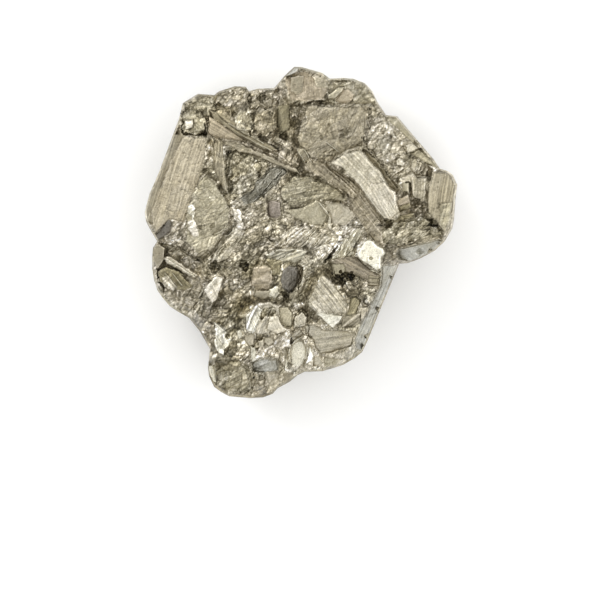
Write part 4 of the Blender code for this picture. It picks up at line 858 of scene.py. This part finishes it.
# %% The flank, from the rim down to the widest place
FALL, BULGE, SPARE = 1.25, 0.8, 0.05
down = np.clip((shell - FLAT_SHARE) / (1.0 - FLAT_SHARE), 0.0, 1.0)
z = np.minimum(z + (GIRTH - z) * down**FALL, high[2] - SPARE)
inward, ring_shade, ring_streak = ring_crystals(angle * ROUND_REACH, z, 81)
inward = inward * np.clip(9.0 * down, 0.0, 1.0) * np.clip(3.0 * (1.0 - down), 0.0, 1.0)
share = share + (1.0 - RIM) * np.sin(0.5 * math.pi * down) ** BULGE - inward / distance
x = MIDDLE[0] + share * distance * np.cos(angle)
y = MIDDLE[1] + share * distance * np.sin(angle)
print("the flank is pressed in by up to", inward.max().round(2), "mm")

# %% [markdown]
# ## Steep walls
#
# Seen from above a wall is a thin line, but from the side it is a whole face. A pattern laid out from above
# would run down it as long stripes, so walls and flank take their shades from the ring of crystals, which
# is laid out from the side. How steep a place is comes from the steps between neighbouring points.

# %% Crystals on steep walls and on the flank
STEEP_FROM, STEEP_OVER, RING_STREAK = 1.2, 2.0, 0.7
own = np.clip(10.0 * down, 0.0, 1.0)[..., None]
steep = np.zeros(x.shape)
for axis in (0, 1):
    run = np.hypot(np.diff(x, axis=axis), np.diff(y, axis=axis))
    rise = np.abs(np.diff(z, axis=axis)) / (0.02 + run)
    last = rise[-1:] if axis == 0 else rise[:, -1:]
    steep = np.maximum(steep, np.concatenate([rise, last], axis=axis))
wall = np.clip((box_blur(steep, 1) - STEEP_FROM) / STEEP_OVER, 0.0, 1.0)[..., None] * (1.0 - own)
ring_light = np.exp(ring_shade)[..., None]
tone = tone + wall * (box_blur(tone, 8) * ring_light - tone)
tone = tone + own * (tone_between_faces(x, y) * ring_light - tone)
streak = np.where(np.maximum(own, wall) > 0.5, ring_streak * (1.0, 1.0, RING_STREAK), streak)
print(round(100.0 * float((wall > 0.5).mean()), 1), "% of the points are on steep walls")

# %% [markdown]
# ## Painted shade in the low places
#
# Low places are darkened and made a little browner: painted shade. A point is in a low place when the
# mean height around it is above its own, so the difference of a blurred copy and the surface is the mask.
# Joints between crystals are dark too, and edges that stand out are lightened by a painted highlight. Dark
# places are also browner and bright ones more neutral, which a small power of the brightness gives.

# %% Painted shade in low places, dark joints and painted highlights on raised edges
NARROW, WIDE = 3, 12
JOINT_DARK = (0.42, 0.40, 0.36)
HOLLOW_SHADE_TINT = np.array((0.55, 0.46, 0.30))
EDGE_HIGHLIGHT, MIDDLE_LIGHT = 0.25, 0.35
narrow, wide = box_blur(z, NARROW) - z, box_blur(z, WIDE) - z
# Painted shade: the deeper a point lies under its surroundings, the darker and browner its tone.
hollow_shade = np.clip(narrow / 0.25, 0.0, 1.0) * 0.28 + np.clip(wide / 1.2, 0.0, 1.0) * 0.12
edge = np.clip(-narrow / 0.10, 0.0, 1.0)
for winner, dark in zip(winners, JOINT_DARK):
    winner = winner.reshape(x.shape)
    joint = np.zeros(x.shape)
    joint[1:] += winner[1:] != winner[:-1]
    joint[:, 1:] += winner[:, 1:] != winner[:, :-1]
    joint[:-1] += joint[1:]
    tone = tone * (1.0 - dark * coarse * np.minimum(joint, 1.0) * (down == 0.0))[..., None]
# Painted shade in the low places, tinted brown.
tone = tone * (1.0 - np.clip(hollow_shade, 0.0, 0.9)[..., None] * (1.0 - 0.45 * HOLLOW_SHADE_TINT))
# Painted highlight: edges that stand above their surroundings are lightened.
tone = tone * (1.0 + EDGE_HIGHLIGHT * edge)[..., None]
light = tone @ np.array((0.21, 0.72, 0.07))
tone = np.clip(tone * (light[..., None] / MIDDLE_LIGHT) ** np.array((-0.03, 0.0, 0.13)), 0.02, 0.95)
print("mean tone of the upper side:", tone.mean((0, 1)).round(3))

# %% [markdown]
# ## From arrays to a mesh
#
# Blender takes points and faces as long flat arrays. The faces of a net follow from its numbering alone:
# four neighbours make a square, cut into two triangles because four free points are seldom flat.

# %% Mesh maker
def make_piece(name, points, triangles, tones, streaks, material):
    """A new object at the origin from points in mm, whole numbers for the triangles, tones and streaks."""
    mesh = bpy.data.meshes.new(name)
    mesh.vertices.add(len(points))
    mesh.vertices.foreach_set("co", (np.asarray(points) * MM).ravel())
    mesh.loops.add(3 * len(triangles))
    mesh.loops.foreach_set("vertex_index", np.asarray(triangles, dtype=np.int32).ravel())
    mesh.polygons.add(len(triangles))
    mesh.polygons.foreach_set("loop_start", np.arange(0, 3 * len(triangles), 3, dtype=np.int32))
    mesh.polygons.foreach_set("loop_total", np.full(len(triangles), 3, dtype=np.int32))
    layer = mesh.attributes.new("tone", "FLOAT_COLOR", "POINT")
    colours = np.column_stack([tones, np.ones(len(tones))]).astype(np.float32)
    layer.data.foreach_set("color", colours.ravel())
    layer = mesh.attributes.new("streak", "FLOAT_VECTOR", "POINT")
    layer.data.foreach_set("vector", np.asarray(streaks, dtype=np.float32).ravel())
    mesh.update(calc_edges=True)
    mesh.validate()
    mesh.materials.append(material)
    piece = bpy.data.objects.new(name, mesh)
    bpy.context.scene.collection.objects.link(piece)
    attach(piece, "root")
    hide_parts("pyrite_specimen")
    print(name, "has", len(triangles), "triangles")
    return piece


def net_triangles(rows, columns):
    """Two triangles for each square of a net whose points are numbered row by row."""
    corner = (np.arange(rows - 1)[:, None] * columns + np.arange(columns - 1)).ravel()
    right, up, far = corner + columns, corner + 1, corner + columns + 1
    return np.concatenate([np.column_stack([corner, right, far]), np.column_stack([corner, far, up])])


def closed_net(points, tones, streaks, apex, rows, columns):
    """A net closed underneath by a fan from its border to one point inside the lump."""
    index = np.arange(rows * columns).reshape(rows, columns)
    border = np.concatenate([index[:-1, 0], index[-1, :-1], index[:0:-1, -1], index[0, :0:-1]])
    fan = np.column_stack([np.roll(border, -1), border, np.full(len(border), rows * columns)])
    return (
        np.vstack([points, apex]),
        np.vstack([net_triangles(rows, columns), fan]),
        np.vstack([tones, tones[:1]]),
        np.vstack([streaks, streaks[:1]]),
    )


# %% [markdown]
# ## The metal
#
# Pyrite is a metal to the eye: it has no paint, and its colour is the colour of its reflection. Four
# things vary over it. The tone comes with the mesh, from the shape: the metal's own colour, with painted
# reflection, painted shade and painted highlights in it. Fine lines run along each face or crystal, on two
# coordinates that the mesh brings with it. Small flakes and grit shift the tone a little, as each tiny face
# mirrors something else. And the polish differs between clean faces and dull tarnish.

# %% Sockets that can be added and multiplied
class Wire:
    """A socket of a material's tree. Sums, differences and products of wires add Math nodes to it."""

    def __init__(self, tree, socket=None):
        self.tree, self.socket = tree, socket

    def node(self, kind, settings=None, values=None, output=0):
        """Any other node: its settings are set first, then the values or wires of its sockets."""
        made = self.tree.nodes.new(kind)
        for key, value in (settings or {}).items():
            if key == "stops":
                ramp = made.color_ramp
                while len(ramp.elements) < len(value):
                    ramp.elements.new(0.5)
                for stop, (place, colour) in zip(ramp.elements, value):
                    stop.position, stop.color = place, colour
            else:
                setattr(made, key, value)
        for key, value in (values or {}).items():
            if isinstance(value, Wire):
                self.tree.links.new(value.socket, made.inputs[key])
            else:
                made.inputs[key].default_value = value
        return Wire(self.tree, made.outputs[output])

    def maths(self, operation, first, second):
        return self.node("ShaderNodeMath", {"operation": operation}, {0: first, 1: second})

    def __add__(self, other):
        return self.maths("ADD", self, other)

    def __mul__(self, other):
        return self.maths("MULTIPLY", self, other)

    def __sub__(self, other):
        return self.maths("SUBTRACT", self, other)

    def __rsub__(self, other):
        return self.maths("SUBTRACT", other, self)

    __radd__ = __add__
    __rmul__ = __mul__


# %% The pyrite itself
FLAKE, GRIT, STAIN = 2600.0, 8500.0, 260.0
ACROSS, ALONG, STREAK_LIGHT = 3.6, 0.16, 2.4


def pyrite_metal():
    """Tone of the mesh times flakes, grit and lines, a little stain, uneven polish, and a fine bump."""
    material = bpy.data.materials.new("pyrite_metal")
    material.use_nodes = True
    tree = material.node_tree
    shader = tree.nodes["Principled BSDF"]
    start = Wire(tree)
    place = start.node("ShaderNodeTexCoord", output="Object")
    tone = start.node("ShaderNodeAttribute", {"attribute_name": "tone"}, output="Color")
    flakes = start.node("ShaderNodeTexVoronoi", None, {"Vector": place, "Scale": FLAKE}, "Color")
    flake = start.node("ShaderNodeSeparateColor", None, {0: flakes}, 0)
    grit = start.node("ShaderNodeTexNoise", None, {"Vector": place, "Scale": GRIT, "Detail": 3.0}, 0)
    stain = start.node("ShaderNodeTexNoise", None, {"Vector": place, "Scale": STAIN, "Detail": 4.0}, 0)
    run = start.node("ShaderNodeAttribute", {"attribute_name": "streak"}, output="Vector")
    across, along, strength = (start.node("ShaderNodeSeparateXYZ", None, {0: run}, k) for k in range(3))
    drawn = start.node("ShaderNodeCombineXYZ", None, {0: across * ACROSS, 1: along * ALONG})
    lines = start.node("ShaderNodeTexNoise", None, {"Vector": drawn, "Scale": 1.0, "Detail": 3.0}, 0)
    line = (lines - 0.5) * strength
    light = 0.20 * flake + 1.80 * grit + STREAK_LIGHT * line
    grey = start.node("ShaderNodeCombineColor", None, {0: light, 1: light, 2: light}, 0)
    lit = start.node(
        "ShaderNodeMix", {"data_type": "RGBA", "blend_type": "MULTIPLY"}, {0: 1.0, 6: tone, 7: grey}, 2
    )
    tarnish = start.node("ShaderNodeValToRGB", {"stops": (
        (0.45, (0.0, 0.0, 0.0, 1.0)), (0.75, (1.0, 1.0, 1.0, 1.0)))}, {0: stain}, 0)  # fmt: skip
    amount = start.node("ShaderNodeSeparateColor", None, {0: tarnish}, 0) * 0.35
    colour = start.node(
        "ShaderNodeMix", {"data_type": "RGBA", "blend_type": "MULTIPLY"},
        {0: amount, 6: lit, 7: (0.86, 0.80, 0.66, 1.0)}, 2,
    )  # fmt: skip
    rough = 0.24 + 0.16 * flake + 0.14 * grit + 0.10 * amount
    bump = start.node(
        "ShaderNodeBump", None,
        {"Strength": 0.35, "Distance": 0.00006, "Height": grit + 0.5 * flake + 2.0 * line}, 0,
    )
    shader.inputs["Metallic"].default_value = 0.86
    for socket, wire in (("Base Color", colour), ("Roughness", rough), ("Normal", bump)):
        tree.links.new(wire.socket, shader.inputs[socket])
    return material


metal = pyrite_metal()
print("the metal has", len(metal.node_tree.nodes), "nodes")

# %% The upper side in four pieces
HEART = (MIDDLE[0], MIDDLE[1], 9.0)
for name, rows, columns in (
    ("upper_side_low_left", slice(0, HALF + 1), slice(0, HALF + 1)),
    ("upper_side_low_right", slice(HALF, None), slice(0, HALF + 1)),
    ("upper_side_top_left", slice(0, HALF + 1), slice(HALF, None)),
    ("upper_side_top_right", slice(HALF, None), slice(HALF, None)),
):
    points = np.stack([x[rows, columns], y[rows, columns], z[rows, columns]], axis=-1).reshape(-1, 3)
    tones, streaks = tone[rows, columns].reshape(-1, 3), streak[rows, columns].reshape(-1, 3)
    parts = closed_net(points, tones, streaks, HEART, HALF + 1, HALF + 1)
    make_piece(name, *parts, metal)

# %% [markdown]
# ## The hidden side
#
# Nobody sees the back in the picture, but the lump has one: massive pyrite that narrows from the widest
# place to a flat spot, broken into blunt crystal faces. Its shape is the same outline carried along a
# profile of shares and heights, with the crystal field pressed inwards so the outline is never passed.

# %% The back as a profile carried round the outline
ROUND, DEEP = 900, 80
PROFILE = (
    (0.0, 0.950, 13.4), (0.05, 0.985, 12.6), (0.11, 0.998, 11.8), (0.30, 0.980, 9.9),
    (0.55, 0.930, 7.0), (0.80, 0.800, 3.2), (1.0, 0.520, 0.0),
)  # fmt: skip
WAY_DOWN, LOWER_SEED, RECESS_SHADE = 22.0, 131, 0.35


def lower_side():
    """Rings of the outline: each is drawn in to the profile's share, less its crystals, at its height."""
    turn = np.linspace(0.0, 2.0 * math.pi, ROUND + 1)[None, :] + np.zeros((DEEP + 1, 1))
    step = np.linspace(0.0, 1.0, DEEP + 1)[:, None] + np.zeros((1, ROUND + 1))
    places, shares, heights = np.array(PROFILE).T
    share, height = np.interp(step, places, shares), np.interp(step, places, heights)
    away = reach(turn)
    inward, shade, streak = ring_crystals(turn * ROUND_REACH, step * WAY_DOWN, LOWER_SEED)
    amount = np.clip((step - 0.08) * 8.0, 0.0, 1.0) * np.clip((1.0 - step) * 6.0, 0.0, 1.0)
    inward = inward * amount
    share = share - inward / away
    points = np.stack(
        [MIDDLE[0] + share * away * np.cos(turn), MIDDLE[1] + share * away * np.sin(turn), height], axis=-1
    )
    # Painted shade: where crystals are pressed inwards the tone is darker.
    recess_shade = np.clip(inward / 1.2, 0.0, 1.0)[..., None]
    tone = np.array(TONES["beige"]) * np.exp(shade)[..., None] * (1.0 - RECESS_SHADE * recess_shade)
    return points, np.clip(tone, 0.03, 0.9), streak


points, tones, streaks = lower_side()
points[:, -1] = points[:, 0]
rows, columns = points.shape[:2]
low_row = (rows - 1) * columns
left, right = np.arange(columns - 1), np.arange(1, columns)
foot_fan = np.column_stack([low_row + left, low_row + right, np.full(columns - 1, rows * columns)])
top_fan = np.column_stack([right, left, np.full(columns - 1, rows * columns + 1)])
body = net_triangles(rows, columns)[:, ::-1]
every = np.vstack([body, foot_fan[:, ::-1], top_fan[:, ::-1]])
ends = np.array([(MIDDLE[0], MIDDLE[1], 0.0), (MIDDLE[0], MIDDLE[1], 12.0)])
make_piece(
    "lower_side", np.vstack([points.reshape(-1, 3), ends]), every,
    np.vstack([tones.reshape(-1, 3), tones[0, :1], tones[0, :1]]),
    np.vstack([streaks.reshape(-1, 3), streaks[0, :1], streaks[0, :1]]), metal,
)  # fmt: skip

# %% [markdown]
# ## Blunt crystals round the flank
#
# Boxes stand out of the flank below the widest place, at the same places and turns as in the solid. Each
# is drawn in towards the middle until it is inside the outline. Each side of a box is a small net, so its
# growth lines and its chipped, blunt edges are real.

# %% Boxes with lines and blunt edges
BLOCKS, BLUNT, NET, LIMIT = 19, 0.6, 18, 0.985
CHIP, CHIP_SEED, FAR = 1.7, 170, 30.0
SHARE_RANGE, SIZE_RANGE, HEIGHT_RANGE = (0.76, 0.84), (4.5, 8.5), (4.0, 9.5)
INWARD_STEP, TRIES, ABOVE_FLOOR = 0.01, 40, 0.02
SIDES = [(axis, sign) for axis in range(3) for sign in (-1.0, 1.0)]


def box_side(axis, sign, half, k):
    """One side of a box as a net: a flat square with small crystals pressed in, blunt where sides meet."""
    u, v = np.meshgrid(*[np.linspace(-1.0, 1.0, NET + 1)] * 2, indexing="ij")
    side = np.empty(u.shape + (3,))
    others = [(axis + 1) % 3, (axis + 2) % 3]
    side[..., axis] = sign * half[axis]
    side[..., others[0]], side[..., others[1]] = u * half[others[0]], v * half[others[1]]
    across, along = side[..., others[0]] + FAR, side[..., others[1]] + FAR
    field, winner, place = crystal_field(across, along, CHIP, SLOPE, CHIP_SEED + k)
    fade = np.clip(6.0 * (1.0 - np.maximum(np.abs(u), np.abs(v))), 0.0, 1.0)
    chipped = fade * np.clip(0.35 - 0.45 * field, 0.0, 0.9)
    side[..., axis] -= sign * chipped
    for a, b in ((0, 1), (1, 2), (2, 0)):
        extra = np.clip(np.abs(side[..., a]) + np.abs(side[..., b]) - half[a] - half[b] + BLUNT, 0.0, None)
        side[..., a] -= 0.5 * extra * np.sign(side[..., a])
        side[..., b] -= 0.5 * extra * np.sign(side[..., b])
    triangles = net_triangles(NET + 1, NET + 1)
    run = np.stack([*place, np.full(u.shape, 0.6 * GROUND_STREAK)], axis=-1)
    # Chipped hollows are darkened as painted shade, on top of a random tone per crystal.
    shade = 0.5 * (winner - 0.5) - 0.25 * chipped
    triangles = triangles if sign > 0.0 else triangles[:, ::-1]
    return side.reshape(-1, 3), triangles, shade.ravel(), run.reshape(-1, 3)


draw = random.Random(31)
points, triangles, tones, streaks, start = [], [], [], [], 0
for k in range(BLOCKS):
    corner = OUTLINE[int(k * len(OUTLINE) / BLOCKS)]
    part = draw.uniform(*SHARE_RANGE)
    half = 0.5 * np.array([draw.uniform(*SIZE_RANGE) for _ in range(3)])
    height = draw.uniform(*HEIGHT_RANGE)
    turned = np.array(Euler([draw.uniform(0.0, math.pi) for _ in range(3)]).to_matrix())
    tips = half * np.array([(a, b, c) for a in (-1, 1) for b in (-1, 1) for c in (-1, 1)]) @ turned.T
    for _ in range(TRIES):
        out = part * (corner - MIDDLE) + tips[:, :2]
        if (np.hypot(*out.T) / reach(np.arctan2(out[:, 1], out[:, 0]))).max() < LIMIT:
            break
        part -= INWARD_STEP
    place = np.append(MIDDLE + part * (corner - MIDDLE), height)
    base = np.array(TONES[("beige", "grey", "light", "rose")[k % 4]])
    for n, (axis, sign) in enumerate(SIDES):
        side, faces, shade, run = box_side(axis, sign, half, 6 * k + n)
        side = side @ turned.T + place
        side[:, 2] = np.maximum(side[:, 2], ABOVE_FLOOR)
        points.append(side)
        triangles.append(faces + start)
        tones.append(base * np.exp(shade + 0.4 * scatter(k, n, 7) - 0.2)[:, None])
        streaks.append(run)
        start += len(side)
make_piece(
    "back_crystals", np.vstack(points), np.vstack(triangles), np.vstack(tones), np.vstack(streaks), metal
)

# %% [markdown]
# ## The studio
#
# A metal shows its surroundings, so the light is a bright upper sky that grows darker towards the sides,
# with one large soft lamp at the upper left. Faces that lean away then turn dark by themselves.

# %% Floor, sky and lamps
GAP, FLOOR_HALF = 0.0001, 6.0


def pale_floor():
    """A square floor a hair under the flat spot, so that the spot shows from below."""
    mesh = bpy.data.meshes.new("floor")
    corners = [(a * FLOOR_HALF, b * FLOOR_HALF, -GAP) for a, b in ((-1, -1), (1, -1), (1, 1), (-1, 1))]
    mesh.from_pydata(corners, [], [(0, 1, 2, 3)])
    floor = bpy.data.objects.new("floor", mesh)
    bpy.context.scene.collection.objects.link(floor)
    material = bpy.data.materials.new("floor_paper")
    material.use_nodes = True
    shader = material.node_tree.nodes["Principled BSDF"]
    shader.inputs["Base Color"].default_value = (0.96, 0.96, 0.96, 1.0)
    shader.inputs["Roughness"].default_value = 0.9
    shader.inputs["Specular IOR Level"].default_value = 0.0
    mesh.materials.append(material)


def studio_sky():
    """The sky's light grows with the height of the direction, from the side level to the level overhead."""
    world = bpy.data.worlds.new("studio")
    world.use_nodes = True
    bpy.context.scene.world = world
    tree = world.node_tree
    start = Wire(tree)
    direction = start.node("ShaderNodeTexCoord", output="Generated")
    up = start.node("ShaderNodeSeparateXYZ", None, {0: direction}, 2)
    sky = start.node("ShaderNodeValToRGB", {"stops": (
        (0.0, (0.95, 0.95, 0.96, 1.0)), (0.30, (0.92, 0.92, 0.92, 1.0)), (0.75, (1.18, 1.18, 1.17, 1.0)),
        (1.0, (1.24, 1.24, 1.23, 1.0)))}, {0: up}, 0)  # fmt: skip
    tree.links.new(sky.socket, tree.nodes["Background"].inputs["Color"])


def soft_lamp(name, place, size, watts):
    """A square lamp turned towards the lump."""
    lamp = bpy.data.lights.new(name, "AREA")
    lamp.energy, lamp.size = watts, size
    holder = bpy.data.objects.new(name, lamp)
    bpy.context.scene.collection.objects.link(holder)
    holder.location = place
    away = Vector(place) - Vector((0.0, 0.0, 0.015))
    holder.rotation_euler = away.to_track_quat("Z", "Y").to_euler()


pale_floor()
studio_sky()
soft_lamp("lamp_upper_left", (-0.35, 0.30, 0.50), 0.30, 1.2)
soft_lamp("lamp_right", (0.45, 0.05, 0.35), 0.25, 0.6)
bpy.context.scene.view_settings.view_transform = "Standard"

# %% [markdown]
# ## The camera
#
# The picture looks straight down on the lump. A very long lens from far away keeps the high faces from
# sliding outwards over the low ones, so every face stays where its corners were given. The lump sits in
# the upper part of the picture, so the camera stands over a place below its middle.

# %% Camera straight above
PIXEL = 0.16
PICTURE = 600
LENS = 1000.0
SENSOR = 36.0
OVER = (-0.16, -10.8)
camera = bpy.data.cameras.new("camera")
camera.lens, camera.sensor_width = LENS, SENSOR
camera.clip_end = 50.0
holder = bpy.data.objects.new("camera", camera)
bpy.context.scene.collection.objects.link(holder)
away = PIXEL * PICTURE * LENS / SENSOR
holder.location = (OVER[0] * MM, OVER[1] * MM, (GIRTH + away) * MM)
bpy.context.scene.camera = holder
print("camera", round(away * MM, 2), "m above the widest place")
